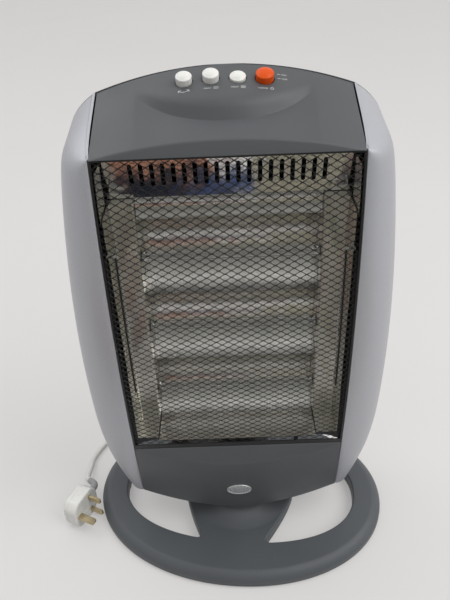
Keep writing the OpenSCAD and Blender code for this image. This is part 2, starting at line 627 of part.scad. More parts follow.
// ---- Wires and the supply cord
function unit(v) = v / norm(v);
function smooth(p, k) = k == 0 ? p : smooth(concat([p[0]],
    [for (i = [0:len(p) - 2]) each [0.75 * p[i] + 0.25 * p[i + 1], 0.25 * p[i] + 0.75 * p[i + 1]]],
    [p[len(p) - 1]]), k - 1);
function tangent(p, i) = let (n = len(p) - 1) unit(p[min(n, i + 1)] - p[max(0, i - 1)]);
function path_length(p) = [for (i = 1, s = norm(p[1] - p[0]); i < len(p);
    i = i + 1, s = s + (i < len(p) ? norm(p[i] - p[i - 1]) : 0)) s][len(p) - 2];
function side_of(t, up) = unit(cross(t, up));
// A round tube swept along its route, one ring square to it at every point
module sweep(p, r, sides, up = [0, 0, 1]) loft([for (i = [0:len(p) - 1])
    let (t = tangent(p, i), u = side_of(t, up), v = cross(u, t))
    [for (j = [0:sides - 1]) p[i] + r * (cos(360 * j / sides) * v + sin(360 * j / sides) * u)]]);

loom_points = [[72, 14, 63.5], [72, 14, 80], [80, 30, 100], [96, 48, 130], [98, 52, 200], [98, 52, 300],
    [98, 50, head_top - 140], [84, 40, head_top - 90], [50, 30, head_top - 60], [30, 26, head_top - 40]];
module wiring_loom() color(black) sweep(smooth(loom_points, 1), 3, 8, [0, 1, 0]);
wire_points = [[0, 0, post_top + 2], [4, 2, 96], [24, -6, 104], [50, 0, 90], [60, 12, 76], [60, 14, 63.5]];
module wire_tube() color(white) sweep(smooth(wire_points, 1), 2.5, 8, [0.2, 1, 0.1]);

cord_r = cord_d / 2;
turn_dir = [sin(rest_turn), cos(rest_turn), 0];
function from_base(p) = [p[0] * cos(rest_turn) + p[1] * sin(rest_turn),
    -p[0] * sin(rest_turn) + p[1] * cos(rest_turn), p[2]];
relief_len = 30;
module cord_clamp() color(black) turned() difference() {
    box([exit_x - 12, exit_y - 34, cavity_z], [exit_x + 12, exit_y - 24, base_h - base_wall - fit]);
    y_rod(inner_r + fit, exit_y - 40, exit_y - 10, exit_x, exit_z);
}
inner_r = 3;
relief_in = 18.5;                // how far the strain relief reaches into the base
lead_in_y = exit_y - relief_in;
inner_points = [[exit_x, lead_in_y, exit_z], [exit_x, exit_y - 30, exit_z], [exit_x, exit_y - 44, exit_z],
    [28, 62, 9], [12, 32, 9], [2, 14, 9.5], [0, 3, 12], [0, 0, 20], [0, 0, 30], [0, 0, 50], [0, 0, post_top]];
module inner_lead() color(black) turned() sweep(smooth(inner_points, 1), inner_r, 8, [1, 0.3, 0]);
module cord_strain_relief() color(white) turned() translate([exit_x, lead_in_y, exit_z]) rotate([-90, 0, 0]) {
    cylinder(r = exit_hole_r, h = relief_in + 1);
    cylinder(r = exit_hole_r + 0.7, h = 2);
    translate([0, 0, relief_in + 1]) cylinder(r1 = exit_hole_r + 1.2, r2 = cord_r + 0.9, h = relief_len - 6);
}
relief_end = from_base([exit_x, exit_y - 5 + relief_len, exit_z]);
// The free cord: from the strain relief to the coil, and from the coil to the plug
coil_x = 8;
coil_y = 200;
coil_layers = 4;
layer_turns = 1.375;             // turns in each layer
cord_step = cord_d + 0.5;        // from one turn to the next, and from layer to layer
coil_steps = 24;
lift = cord_r + 0.02;
function ease(f) = f < 0 ? 0 : f > 1 ? 1 : f * f * (3 - 2 * f);
// The spiral runs in, out, in and out again, and climbs where it reverses
function coil_radius(t) = coil_r - cord_step * (layer_turns - abs(t % (2 * layer_turns) - layer_turns));
function coil_climb(t) = [for (k = [1:coil_layers - 1]) ease((t - k * layer_turns + 0.25) / 0.5)]
    * [for (k = [1:coil_layers - 1]) 1];
function coil_point(t) = [coil_x + coil_radius(t) * cos(360 * t), coil_y + coil_radius(t) * sin(360 * t),
    lift + cord_step * coil_climb(t)];
coil_end_t = coil_layers * layer_turns - 1 / 6;
coil_turns = [for (k = [0:floor(coil_end_t * coil_steps)]) coil_point(k / coil_steps)];
coil_count = len(coil_turns);
coil_start = coil_turns[0] - [0, cord_d, 0];
out_dir = [cos(coil_end_t * 360 + 90), sin(coil_end_t * 360 + 90), 0];
coil_last = coil_turns[coil_count - 1] + cord_d * out_dir;
coil_path = concat([coil_start], coil_turns, [coil_last]);
module cord_coil() color(white) sweep(coil_path, cord_r, 6);

in_points = [relief_end, relief_end + 8 * turn_dir, [52, 174, 5], coil_start - [0, 8, 0], coil_start];
module supply_cord() color(white) sweep(smooth(in_points, 2), cord_r, 8);
plug_turn = 64;                  // direction of the plug's cord end, from +X
plug_at = [-203.5, -24];
plug_dir = [cos(plug_turn), sin(plug_turn), 0];
plug_mid_z = plug_w / 2;
plug_half = 23;                  // from the middle of the plug to its cord end
sleeve_start = [plug_at[0], plug_at[1], plug_mid_z] + plug_half * plug_dir;
sleeve_mid = sleeve_start + 12 * plug_dir;
sleeve_end = [-199, 19, 15];
sleeve_dir = unit(sleeve_end - sleeve_mid);
lead_points = [coil_last, coil_last + 12 * out_dir, [-58, 212, 18], [-96, 190, 7], [-130, 164, 3.6],
    [-160, 134, 3.6], [-184, 104, 3.6], [-198, 80, 3.6], [-204, 62, 4.5], [-203, 46, 8],
    sleeve_end + 9 * sleeve_dir, sleeve_end];
module plug_lead() color(white) sweep(smooth(lead_points, 2), cord_r, 8);
tie_mid = coil_r - 0.5 * cord_step * layer_turns;
tie_half = 0.5 * cord_step * layer_turns + cord_r + 0.3;
tie_top = cord_d + (coil_layers - 1) * cord_step + 0.4;
module cord_tie() color(black) translate([coil_x, coil_y, 0]) rotate([0, 0, 215])
    translate([tie_mid, 0, 0]) difference() {
        translate([-tie_half - 1.2, -4, 0]) cube([2 * tie_half + 2.4, 8, tie_top + 1.2]);
        translate([-tie_half, -5, -1]) cube([2 * tie_half, 10, tie_top + 1]);
    }
module plug_sleeve() color(white) sweep(smooth([sleeve_start, sleeve_mid, sleeve_end], 1), 4.6, 10);
module in_plug() translate([plug_at[0], plug_at[1], plug_mid_z]) rotate([0, 0, plug_turn]) children();
plug_outline = [[-22, -plug_w / 2 + 9], [-14, -plug_w / 2], [14, -plug_w / 2], [plug_half, -10],
    [plug_half, 10], [14, plug_w / 2], [-14, plug_w / 2], [-22, plug_w / 2 - 9]];
module plug_body() color(white) in_plug() difference() {
    xz_prism(-plug_t / 2, plug_t / 2) polygon(plug_outline);
    for (p = pin_spots) translate([p[0] - p[3] / 2, -plug_t / 2 - 1, p[1] - p[2] / 2]) cube([p[3], 6, p[2]]);
}
// Each pin: place along the cord, place across, size across, size along, free length
pin_spots = [[8, 11.1, 6.4, 4, 17.7], [8, -11.1, 6.4, 4, 17.7], [-14.2, 0, 4, 8, 22.7]];
module plug_pins() color(brass) in_plug() for (p = pin_spots)
    translate([p[0] - p[3] / 2, -plug_t / 2 - p[4], p[1] - p[2] / 2]) cube([p[3], p[4] + 5, p[2]]);

echo(cord_length = path_length(smooth(in_points, 2)) + path_length(coil_path)
    + path_length(smooth(lead_points, 2)));
// Least gap of the coil to itself, between points at least half a turn apart
echo(coil_gap = min([for (i = [0:coil_count - 1]) for (j = [i + coil_steps / 2:1:coil_count - 1])
    norm(coil_turns[i] - coil_turns[j])]) - cord_d);

base_shell();
base_floor_plate();
rubber_feet();
base_screws();
pivot_post();
thrust_washer();
retaining_clip();
gear_sector();
chassis_floor();
pivot_bush();
swing_motor();
motor_bracket();
motor_pinion();
bottom_panel();
badge_blank();
left_side_panel();
right_side_panel();
top_panel();
rear_shell();
rear_screws();
grille_frame();
grille_net();
reflector();
top_deflector();
left_side_reflector();
right_side_reflector();
left_lamp_bracket();
right_lamp_bracket();
upper_lamp_tube();
middle_lamp_tube();
lower_lamp_tube();
lamp_filaments();
lamp_end_caps();
heat_shield();
thermal_cutout();
switch_block();
swing_button();
heat_button_one();
heat_button_two();
power_button();
tilt_switch();
tilt_weight();
terminal_block();
wiring_loom();
inner_lead();
wire_tube();
cord_clamp();
cord_strain_relief();
supply_cord();
cord_coil();
plug_lead();
cord_tie();
plug_sleeve();
plug_body();
plug_pins();
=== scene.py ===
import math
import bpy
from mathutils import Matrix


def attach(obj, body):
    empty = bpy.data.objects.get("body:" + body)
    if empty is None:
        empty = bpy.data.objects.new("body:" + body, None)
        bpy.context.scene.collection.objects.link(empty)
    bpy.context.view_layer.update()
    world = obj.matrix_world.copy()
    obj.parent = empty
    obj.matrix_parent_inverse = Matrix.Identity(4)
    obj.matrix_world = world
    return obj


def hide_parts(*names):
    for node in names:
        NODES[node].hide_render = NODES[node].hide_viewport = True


bl_info = {
    "name": "Halogen heater finish",
    "version": (1, 0, 0),
    "blender": (4, 5, 0),
    "location": "View3D > Sidebar > Heater",
    "description": "Builds the finished pieces of an oscillating halogen heater on its CAD frame",
    "category": "Object",
}

import bmesh
import bpy
from bpy.props import FloatProperty, FloatVectorProperty, IntProperty, PointerProperty
from mathutils import Matrix, Vector

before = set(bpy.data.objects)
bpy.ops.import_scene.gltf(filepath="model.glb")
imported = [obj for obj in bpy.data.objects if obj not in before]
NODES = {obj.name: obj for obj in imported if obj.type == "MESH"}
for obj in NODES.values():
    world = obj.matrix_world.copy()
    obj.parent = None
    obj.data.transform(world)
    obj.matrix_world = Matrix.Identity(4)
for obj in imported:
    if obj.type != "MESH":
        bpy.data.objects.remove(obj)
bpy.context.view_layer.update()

# All outlines below are in millimetres, as the frame's source has them; pieces are made in metres.
MM = 0.001

# ---- Sizes of the frame that the finished pieces follow
HEAD_TOP = 540.0
HEAD_HALF = 166.5
PANEL_HALF = 116.5  # half the width between the silver side panels
TOP_HALF = 116.2
SEAM_Y = 45.0  # seam between the front panels and the rear shell
SEAM_GAP = 0.3
CORNER_Z = 519.0
WIDE_Y = 8.0
WALL = 2.5
GRILLE_LOW, GRILLE_HIGH = 147.0, 487.0
NET_LOW, NET_HIGH = 152.8, 486.2
REST_TURN = 7.0  # the base is turned under the head at rest
BASE_HALF, BASE_DEEP, BASE_TOP = 180.5, 130.0, 19.0
BASE_SQUARE = 2.05
NECK_R, NECK_TOP, FLARE = 44.0, 34.0, 24.0
BRIDGE_BOW = 1.4
LAMP_ZS = (370.0, 284.0, 198.0)
LAMP_Y = 2.0
TROUGH_Y, TROUGH_DEPTH, TROUGH_PITCH = -2.0, 26.0, 86.0
REFLECTOR_HALF = 88.0
COVER_Y, LAMP_HOLE_R = -6.2, 7.0  # front of the panels that hide the lamps' ends
FOLD_Z = 435.0
PLATE_HALF = 126.8  # the slotted plate runs into the side panels
BUTTON_XS = (-35.4, -11.8, 11.8, 35.4)
BUTTON_Y = 27.0
BUTTON_R, POWER_R, BUTTON_TRAVEL = 7.25, 8.0, 4.0
PRESSED, POWER = 2, 3  # the third button is pressed at rest, and the fourth is the power button
BADGE_AT, BADGE_HALF, BADGE_DEEP, CHIN_TILT = (0, -53, 78), 14.5, 9.0, 4.75
DECK_SLOPE = 0.4
DECK_HALF, SCOOP_HALF = 46.0, 79.0
SCOOP_Y, SCOOP_BOW, SCOOP_RUN, SCOOP_SUNK = -8.5, 32.0, 8.0, 5.5
LEDGE_OUT, LEDGE_UP = 5.0, 12.4
SCREW_SPOTS = ((-113.0, 180.0), (113.0, 180.0), (-113.0, 400.0), (113.0, 400.0))


def side_x(z):
    """Half width of the head at a height."""
    x = HEAD_HALF - 16.7 * ((z - 235) / 235) ** 2
    if z > 465:
        x -= 23.8 * ((z - 465) / 54) ** 3.4
    if z < 170:
        x -= 20 * ((170 - z) / 138) ** 2
    return x


def front_y(z):
    """Where the front of the grille stands at a height."""
    return -54.5 + 3.1 * (z - 322) / 100 + 4.05 * ((z - 322) / 100) ** 2


def rear_y(z):
    """Where the rear shell stands at a height."""
    return 75 - 14 * ((z - 260) / 260) ** 2 - (12 * ((z - 470) / 70) ** 2 if z > 470 else 0)


def arch(x):
    """How far the top edge falls from the middle."""
    return 21 * (x / TOP_HALF) ** 2


def span(low, high, count):
    return [low + (high - low) * i / count for i in range(count + 1)]


def mix(a, b, t):
    return a + (b - a) * t


def oval(a, b, square, steps):
    """A superellipse, counter-clockwise from +X."""
    points = []
    for i in range(steps):
        t = 2 * math.pi * i / steps
        c, s = math.cos(t), math.sin(t)
        points.append((a * math.copysign(abs(c) ** (2 / square), c), b * math.copysign(abs(s) ** (2 / square), s)))
    return points


def from_base(p):
    """A point of the base's own frame, turned as the base stands at rest."""
    a = math.radians(REST_TURN)
    return (p[0] * math.cos(a) + p[1] * math.sin(a), -p[0] * math.sin(a) + p[1] * math.cos(a), p[2])


def eased(points, reaches, steps=4, closed=True):
    """The line with each corner drawn as a short curve that reaches that far along both sides."""
    n, out = len(points), []
    for i, p in enumerate(points):
        if not closed and i in (0, n - 1):
            out.append(tuple(p))
            continue
        p = Vector(p)
        a, b = Vector(points[i - 1]), Vector(points[(i + 1) % n])
        ra = min(reaches[i], 0.46 * (a - p).length)
        rb = min(reaches[i], 0.46 * (b - p).length)
        start, end = p + (a - p).normalized() * ra, p + (b - p).normalized() * rb
        for k in range(steps + 1):
            t = k / steps
            out.append(tuple(start * (1 - t) ** 2 + p * 2 * t * (1 - t) + end * t * t))
    return out


# ---- Mesh helpers
def band(rows, wrap=False):
    """Quads through rows of points of equal length."""
    n = len(rows[0])
    verts = [p for row in rows for p in row]
    faces = []
    for i in range(len(rows) - 1):
        for j in range(n if wrap else n - 1):
            a, b = i * n + j, i * n + (j + 1) % n
            faces.append((a, b, b + n, a + n))
    return verts, faces


def loft(rows, ends="face"):
    """A closed skin through closed rows, with ends of one face, or of a strip for the rows of a thin bent wall."""
    verts, faces = band(rows, wrap=True)
    n, last = len(rows[0]), (len(rows) - 1) * len(rows[0])
    if ends == "face":
        faces += [tuple(range(n - 1, -1, -1)), tuple(range(last, last + n))]
    else:
        for j in range(n // 2 - 1):
            faces.append((j + 1, j, n - 1 - j, n - 2 - j))
            faces.append((last + j, last + j + 1, last + n - 2 - j, last + n - 1 - j))
    return verts, faces


def lathe(profile, steps=48):
    """A profile of (radius, height) turned about Z, closed where the radius is 0 or the profile meets its start."""
    turns = [2 * math.pi * j / steps for j in range(steps)]
    return band([[(r * math.cos(a), r * math.sin(a), z) for a in turns] for r, z in profile], wrap=True)


def swept(path, radii, sides, up=(0, 0, 1)):
    """A round rod along a path, with a radius for each point."""
    path = [Vector(p) for p in path]
    tangents = [(path[min(i + 1, len(path) - 1)] - path[max(i - 1, 0)]).normalized() for i in range(len(path))]
    side = tangents[0].cross(Vector(up)).normalized()
    turns = [2 * math.pi * j / sides for j in range(sides)]
    rows = []
    for p, t, r in zip(path, tangents, radii):
        side = (side - t * side.dot(t)).normalized()
        top = side.cross(t)
        rows.append([tuple(p + r * (math.cos(a) * side + math.sin(a) * top)) for a in turns])
    return loft(rows)


def joined(parts):
    """Several (verts, faces) as one."""
    verts, faces = [], []
    for v, f in parts:
        faces += [tuple(i + len(verts) for i in face) for face in f]
        verts += list(v)
    return verts, faces


def moved(part, matrix):
    return [tuple(matrix @ Vector(p)) for p in part[0]], part[1]


def turned_x(angle):
    return Matrix.Rotation(math.radians(angle), 4, "X")


def turned_y(angle):
    return Matrix.Rotation(math.radians(angle), 4, "Y")


def turned_z(angle):
    return Matrix.Rotation(math.radians(angle), 4, "Z")


def solid(name, part, weld=0.0005):
    """A mesh object from points in millimetres, with its corners welded and its faces turned outwards."""
    mesh = bpy.data.meshes.new(name)
    mesh.from_pydata([(x * MM, y * MM, z * MM) for x, y, z in part[0]], [], part[1])
    bm = bmesh.new()
    bm.from_mesh(mesh)
    bmesh.ops.remove_doubles(bm, verts=bm.verts, dist=weld * MM)
    bmesh.ops.dissolve_degenerate(bm, edges=bm.edges, dist=1e-7)
    bmesh.ops.recalc_face_normals(bm, faces=bm.faces)
    bm.to_mesh(mesh)
    bm.free()
    obj = bpy.data.objects.new(name, mesh)
    bpy.context.scene.collection.objects.link(obj)
    return obj


def settled(obj):
    """Applies the modifiers to the mesh."""
    bpy.context.view_layer.update()
    dg = bpy.context.evaluated_depsgraph_get()
    mesh = bpy.data.meshes.new_from_object(obj.evaluated_get(dg))
    obj.modifiers.clear()
    old, obj.data = obj.data, mesh
    mesh.name = obj.name
    bpy.data.meshes.remove(old)
    return obj


def carved(obj, cutters, how="DIFFERENCE"):
    """Cuts solids out of a solid, or joins them to it, and clears them away."""
    for cutter in cutters:
        mod = obj.modifiers.new("carve", "BOOLEAN")
        mod.operation, mod.solver, mod.object = how, "EXACT", cutter
    settled(obj)
    for cutter in cutters:
        mesh = cutter.data
        bpy.data.objects.remove(cutter)
        bpy.data.meshes.remove(mesh)
    if not obj.data.polygons:
        raise RuntimeError(f"{obj.name}: nothing was left after the cut")
    return obj


def thickened(obj, thickness, offset=0.0):
    """Gives a sheet its thickness in millimetres. An offset of 1 puts it all on the side of the normals."""
    mod = obj.modifiers.new("thickness", "SOLIDIFY")
    mod.thickness, mod.offset = thickness * MM, offset
    return settled(obj)


def placed(obj, body, material, stands_for=(), angle=34, weighted=False):
    """Shades a piece, gives it its finish and hands it to the frame."""
    obj.data.shade_smooth()
    obj.data.set_sharp_from_angle(angle=math.radians(angle))
    if weighted:
        mod = obj.modifiers.new("normals", "WEIGHTED_NORMAL")
        mod.keep_sharp, mod.weight = True, 50
        settled(obj)
    obj.data.materials.clear()
    obj.data.materials.append(material)
    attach(obj, body)
    if stands_for:
        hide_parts(*stands_for)
    return obj


# ---- Finishes
def node(tree, kind, place, **values):
    made = tree.nodes.new(kind)
    made.location = place
    for key, value in values.items():
        setattr(made, key, value)
    return made


def finish(name, colour, rough, metal=0.0, mottle=(14.0, 0.06), rough_spread=0.05, grain=(1500.0, 0.02), streak=None,
           **sockets):
    """A procedural finish: colour that drifts a little, roughness that varies, and a fine moulded or rolled grain.
    streak=(x, y, z, strength) stretches a second bump along the object's axes."""
    if name in bpy.data.materials:
        return bpy.data.materials[name]
    material = bpy.data.materials.new(name)
    material.use_nodes = True
    tree = material.node_tree
    shader = tree.nodes["Principled BSDF"]
    link = tree.links.new
    place = node(tree, "ShaderNodeTexCoord", (-1300, 0))

    drift = node(tree, "ShaderNodeTexNoise", (-1000, 200))
    drift.inputs["Scale"].default_value = mottle[0]
    drift.inputs["Detail"].default_value = 5.0
    drift.inputs["Roughness"].default_value = 0.62
    link(place.outputs["Object"], drift.inputs["Vector"])
    blend = node(tree, "ShaderNodeMix", (-500, 260), data_type="RGBA")
    blend.inputs[6].default_value = (*[c * (1 - mottle[1]) for c in colour], 1)
    blend.inputs[7].default_value = (*[min(1.0, c * (1 + mottle[1])) for c in colour], 1)
    spread = node(tree, "ShaderNodeMapRange", (-750, 260))
    spread.inputs["From Min"].default_value, spread.inputs["From Max"].default_value = 0.32, 0.68
    link(drift.outputs["Fac"], spread.inputs["Value"])
    link(spread.outputs["Result"], blend.inputs[0])
    link(blend.outputs[2], shader.inputs["Base Color"])

    wear = node(tree, "ShaderNodeTexNoise", (-1000, -60))
    wear.inputs["Scale"].default_value = mottle[0] * 3.1
    wear.inputs["Detail"].default_value = 3.0
    link(place.outputs["Object"], wear.inputs["Vector"])
    level = node(tree, "ShaderNodeMapRange", (-750, -60))
    level.inputs["From Min"].default_value, level.inputs["From Max"].default_value = 0.3, 0.7
    level.inputs["To Min"].default_value = max(0.02, rough - rough_spread)
    level.inputs["To Max"].default_value = min(1.0, rough + rough_spread)
    link(wear.outputs["Fac"], level.inputs["Value"])
    link(level.outputs["Result"], shader.inputs["Roughness"])

    fine = node(tree, "ShaderNodeTexNoise", (-1000, -340))
    fine.inputs["Scale"].default_value = grain[0]
    fine.inputs["Detail"].default_value = 2.0
    link(place.outputs["Object"], fine.inputs["Vector"])
    bump = node(tree, "ShaderNodeBump", (-400, -340))
    bump.inputs["Strength"].default_value = min(1.0, grain[1] * 10)
    bump.inputs["Distance"].default_value = 0.0004
    link(fine.outputs["Fac"], bump.inputs["Height"])
    if streak:
        stretch = node(tree, "ShaderNodeMapping", (-1000, -640))
        stretch.inputs["Scale"].default_value = streak[:3]
        rolled = node(tree, "ShaderNodeTexNoise", (-750, -640))
        rolled.inputs["Scale"].default_value = 1.0
        rolled.inputs["Detail"].default_value = 2.0
        link(place.outputs["Object"], stretch.inputs["Vector"])
        link(stretch.outputs["Vector"], rolled.inputs["Vector"])
        wave = node(tree, "ShaderNodeBump", (-400, -640))
        wave.inputs["Strength"].default_value = streak[3]
        wave.inputs["Distance"].default_value = 0.004
        link(rolled.outputs["Fac"], wave.inputs["Height"])
        link(wave.outputs["Normal"], bump.inputs["Normal"])
    link(bump.outputs["Normal"], shader.inputs["Normal"])
    shader.inputs["Metallic"].default_value = metal
    for key, value in sockets.items():
        shader.inputs[key.replace("_", " ")].default_value = value
    return material


def colours():
    return bpy.context.scene.heater_colours


def dark_plastic():
    return finish("dark moulded plastic", tuple(colours().dark), 0.38, mottle=(9.0, 0.05), grain=(2300.0, 0.05),
                  rough_spread=0.07)


def base_plastic():
    return finish("dark base plastic", tuple(colours().base), 0.46, mottle=(9.0, 0.06), grain=(2300.0, 0.05),
                  rough_spread=0.06)


def silver_plastic():
    return finish("silver painted plastic", tuple(colours().silver), 0.36, metal=0.25, mottle=(700.0, 0.045),
                  grain=(3200.0, 0.02), rough_spread=0.03)


def black_paint():
    return finish("black painted steel", (0.012, 0.012, 0.013), 0.34, mottle=(40.0, 0.2), grain=(2600.0, 0.06),
                  rough_spread=0.08)


def mirror_sheet():
    return finish("bright reflector sheet", (0.78, 0.77, 0.74), 0.1, metal=1.0, mottle=(20.0, 0.05),
                  rough_spread=0.04, grain=(900.0, 0.004), streak=(26.0, 60.0, 5.0, 0.16))


def trough_sheet():
    return finish("bright trough sheet", (0.76, 0.75, 0.71), 0.23, metal=1.0, mottle=(24.0, 0.08), rough_spread=0.05,
                  grain=(900.0, 0.01), streak=(55.0, 30.0, 14.0, 0.42))


def side_sheet():
    return finish("satin side sheet", (0.6, 0.59, 0.54), 0.3, metal=1.0, mottle=(14.0, 0.16), rough_spread=0.06,
                  grain=(900.0, 0.01), streak=(30.0, 30.0, 16.0, 0.3))


def zinc_steel():
    return finish("zinc plated steel", (0.52, 0.53, 0.54), 0.34, metal=1.0, mottle=(120.0, 0.12), rough_spread=0.08,
                  grain=(1800.0, 0.02))


def bright_steel():
    return finish("bright screw steel", (0.6, 0.6, 0.6), 0.24, metal=1.0, mottle=(200.0, 0.08), grain=(2400.0, 0.01))


def brass():
    return finish("plug brass", (0.5, 0.42, 0.26), 0.32, metal=1.0, mottle=(160.0, 0.1), rough_spread=0.06,
                  grain=(2000.0, 0.01))


def white_plastic():
    return finish("white moulded plastic", tuple(colours().white), 0.3, mottle=(60.0, 0.02), grain=(1800.0, 0.015),
                  Subsurface_Weight=0.05, Subsurface_Scale=0.002)


def orange_plastic():
    return finish("orange button plastic", tuple(colours().orange), 0.32, mottle=(60.0, 0.04), grain=(1800.0, 0.01),
                  Specular_IOR_Level=0.25, Subsurface_Weight=0.08, Subsurface_Scale=0.002)


def cable_vinyl():
    return finish("white cable sheath", tuple(c * 0.95 for c in colours().white), 0.38, mottle=(30.0, 0.04),
                  grain=(1500.0, 0.02))


def sleeve_vinyl():
    return finish("grey plug sleeve", (0.36, 0.36, 0.37), 0.5, mottle=(60.0, 0.08), grain=(1200.0, 0.03))


def black_plastic():
    return finish("black moulded plastic", (0.02, 0.02, 0.021), 0.42, mottle=(40.0, 0.15), grain=(2000.0, 0.04))


def black_cable():
    return finish("black cable sheath", (0.018, 0.018, 0.019), 0.46, mottle=(60.0, 0.15), grain=(1500.0, 0.03))


def foot_rubber():
    return finish("foot rubber", (0.022, 0.022, 0.022), 0.72, mottle=(90.0, 0.2), grain=(1100.0, 0.08))


def nylon():
    return finish("natural nylon", (0.7, 0.68, 0.6), 0.4, mottle=(50.0, 0.03), grain=(1500.0, 0.02),
                  Subsurface_Weight=0.1, Subsurface_Scale=0.002)


def ceramic():
    return finish("steatite ceramic", (0.66, 0.62, 0.54), 0.6, mottle=(110.0, 0.06), grain=(1300.0, 0.06))


def quartz():
    return finish("quartz tube", (0.97, 0.97, 0.97), 0.04, mottle=(30.0, 0.02), rough_spread=0.02,
                  grain=(400.0, 0.002), Transmission_Weight=1.0, IOR=1.46)


def lamp_wire():
    return finish("lamp wire", (0.2, 0.19, 0.18), 0.4, metal=1.0, mottle=(300.0, 0.2), grain=(2400.0, 0.02))


def badge_metal():
    return finish("badge metal", (0.72, 0.73, 0.74), 0.3, metal=0.7, mottle=(260.0, 0.05), grain=(2600.0, 0.02),
                  rough_spread=0.05)


def print_ink():
    return finish("white print", (0.62, 0.63, 0.63), 0.5, mottle=(900.0, 0.12), grain=(2600.0, 0.02))


# ---- Stage
CAMERA_AT = (-0.00036, -0.53401, 0.69017)
CAMERA_PITCH, CAMERA_YAW, CAMERA_ROLL = 35.087, -0.778, 2.567  # degrees
LENS, SENSOR = 37.8, 36.0
FLOOR_LIT, FLOOR_GLOW = 0.6, 0.4  # shares of the floor's colour that take light, and that show as background
SKY_LOW, SKY_HIGH = 0.2, 1.02  # strength of the world's light at the horizon and overhead


def aimed(obj, at):
    obj.rotation_mode = "QUATERNION"
    obj.rotation_quaternion = (Vector(at) - obj.location).to_track_quat("-Z", "Y")


def soft_light(name, place, at, size, power, tint=(1, 1, 1)):
    lamp = bpy.data.lights.new(name, "AREA")
    lamp.shape, lamp.size, lamp.energy, lamp.color = "DISK", size, power, tint
    obj = bpy.data.objects.new(name, lamp)
    bpy.context.scene.collection.objects.link(obj)
    obj.location = place
    aimed(obj, at)


def level_card(x0, y0, x1, y1, z=0.002):
    """The corners of a level rectangle, in metres."""
    return [(x0, y0, z), (x1, y0, z), (x1, y1, z), (x0, y1, z)]


# What glossy surfaces mirror: the darker side of a room, and warm and dark things on the floor in front.
# Each row is a name, the corners in metres, a colour, the colour that it fades to, and the axis of the fade.
CARDS = (
    ("dark side of the room", [(-5, -2.6, 0.0), (5, -2.6, 0.0), (5, -2.6, 3.4), (-5, -2.6, 3.4)],
     (0.15, 0.15, 0.14), (0.6, 0.6, 0.58), "Z"),
    ("grey ceiling", level_card(-0.9, -1.3, 0.9, 0.15, 2.7), (0.42, 0.42, 0.41), None, None),
    ("far floor", level_card(-5, -2.6, 5, -1.0), (0.09, 0.09, 0.085), (0.62, 0.61, 0.6), "Y"),
    ("warm patch", [(-0.75, -0.68, 0.002), (-0.02, -0.62, 0.002), (-0.02, -0.43, 0.002), (-0.2, -0.43, 0.002),
                    (-0.75, -0.3, 0.002)], (0.4, 0.2, 0.14), None, None),
    ("dark patch", [(-0.75, -0.3, 0.002), (-0.2, -0.43, 0.002), (0.0, -0.43, 0.002), (0.03, -0.33, 0.002),
                    (-0.1, -0.3, 0.002), (-0.75, -0.2, 0.002)], (0.016, 0.02, 0.035), None, None),
    ("olive patch", level_card(-0.75, -1.6, 0.75, -0.69, 0.004), (0.2, 0.2, 0.165), None, None),
    ("beige patch", level_card(0.05, -0.69, 0.75, -0.25), (0.36, 0.34, 0.27), None, None),
    ("blue patch", [(-0.02, -0.43, 0.003), (0.05, -0.45, 0.003), (0.05, -0.36, 0.003), (-0.1, -0.37, 0.003)],
     (0.06, 0.09, 0.2), None, None),
)


def card(name, corners, colour, other, axis):
    """A glowing studio card that only reflections see; its colour may fade to another along an axis."""
    mesh = bpy.data.meshes.new(name)
    mesh.from_pydata(corners, [], [tuple(range(len(corners)))])
    obj = bpy.data.objects.new(name, mesh)
    bpy.context.scene.collection.objects.link(obj)
    material = bpy.data.materials.new(name)
    material.use_nodes = True
    tree = material.node_tree
    tree.nodes.clear()
    glow = node(tree, "ShaderNodeEmission", (0, 0))
    glow.inputs["Color"].default_value = (*colour, 1)
    if other:
        place = node(tree, "ShaderNodeTexCoord", (-800, 0))
        parts = node(tree, "ShaderNodeSeparateXYZ", (-600, 0))
        fade = node(tree, "ShaderNodeMix", (-300, 0), data_type="RGBA")
        fade.inputs[6].default_value, fade.inputs[7].default_value = (*colour, 1), (*other, 1)
        tree.links.new(place.outputs["Generated"], parts.inputs[0])
        tree.links.new(parts.outputs[axis], fade.inputs[0])
        tree.links.new(fade.outputs[2], glow.inputs["Color"])
    out = node(tree, "ShaderNodeOutputMaterial", (200, 0))
    tree.links.new(glow.outputs[0], out.inputs["Surface"])
    mesh.materials.append(material)
    obj.visible_camera = obj.visible_diffuse = obj.visible_shadow = obj.visible_transmission = False


def background_rays(tree):
    """A socket that is 1 for camera, glossy and transmission rays."""
    path = node(tree, "ShaderNodeLightPath", (-1200, 500))
    first = node(tree, "ShaderNodeMath", (-1000, 500), operation="MAXIMUM")
    both = node(tree, "ShaderNodeMath", (-800, 500), operation="MAXIMUM")
    tree.links.new(path.outputs["Is Camera Ray"], first.inputs[0])
    tree.links.new(path.outputs["Is Transmission Ray"], first.inputs[1])
    tree.links.new(first.outputs[0], both.inputs[0])
    tree.links.new(path.outputs["Is Glossy Ray"], both.inputs[1])
    return both.outputs[0]


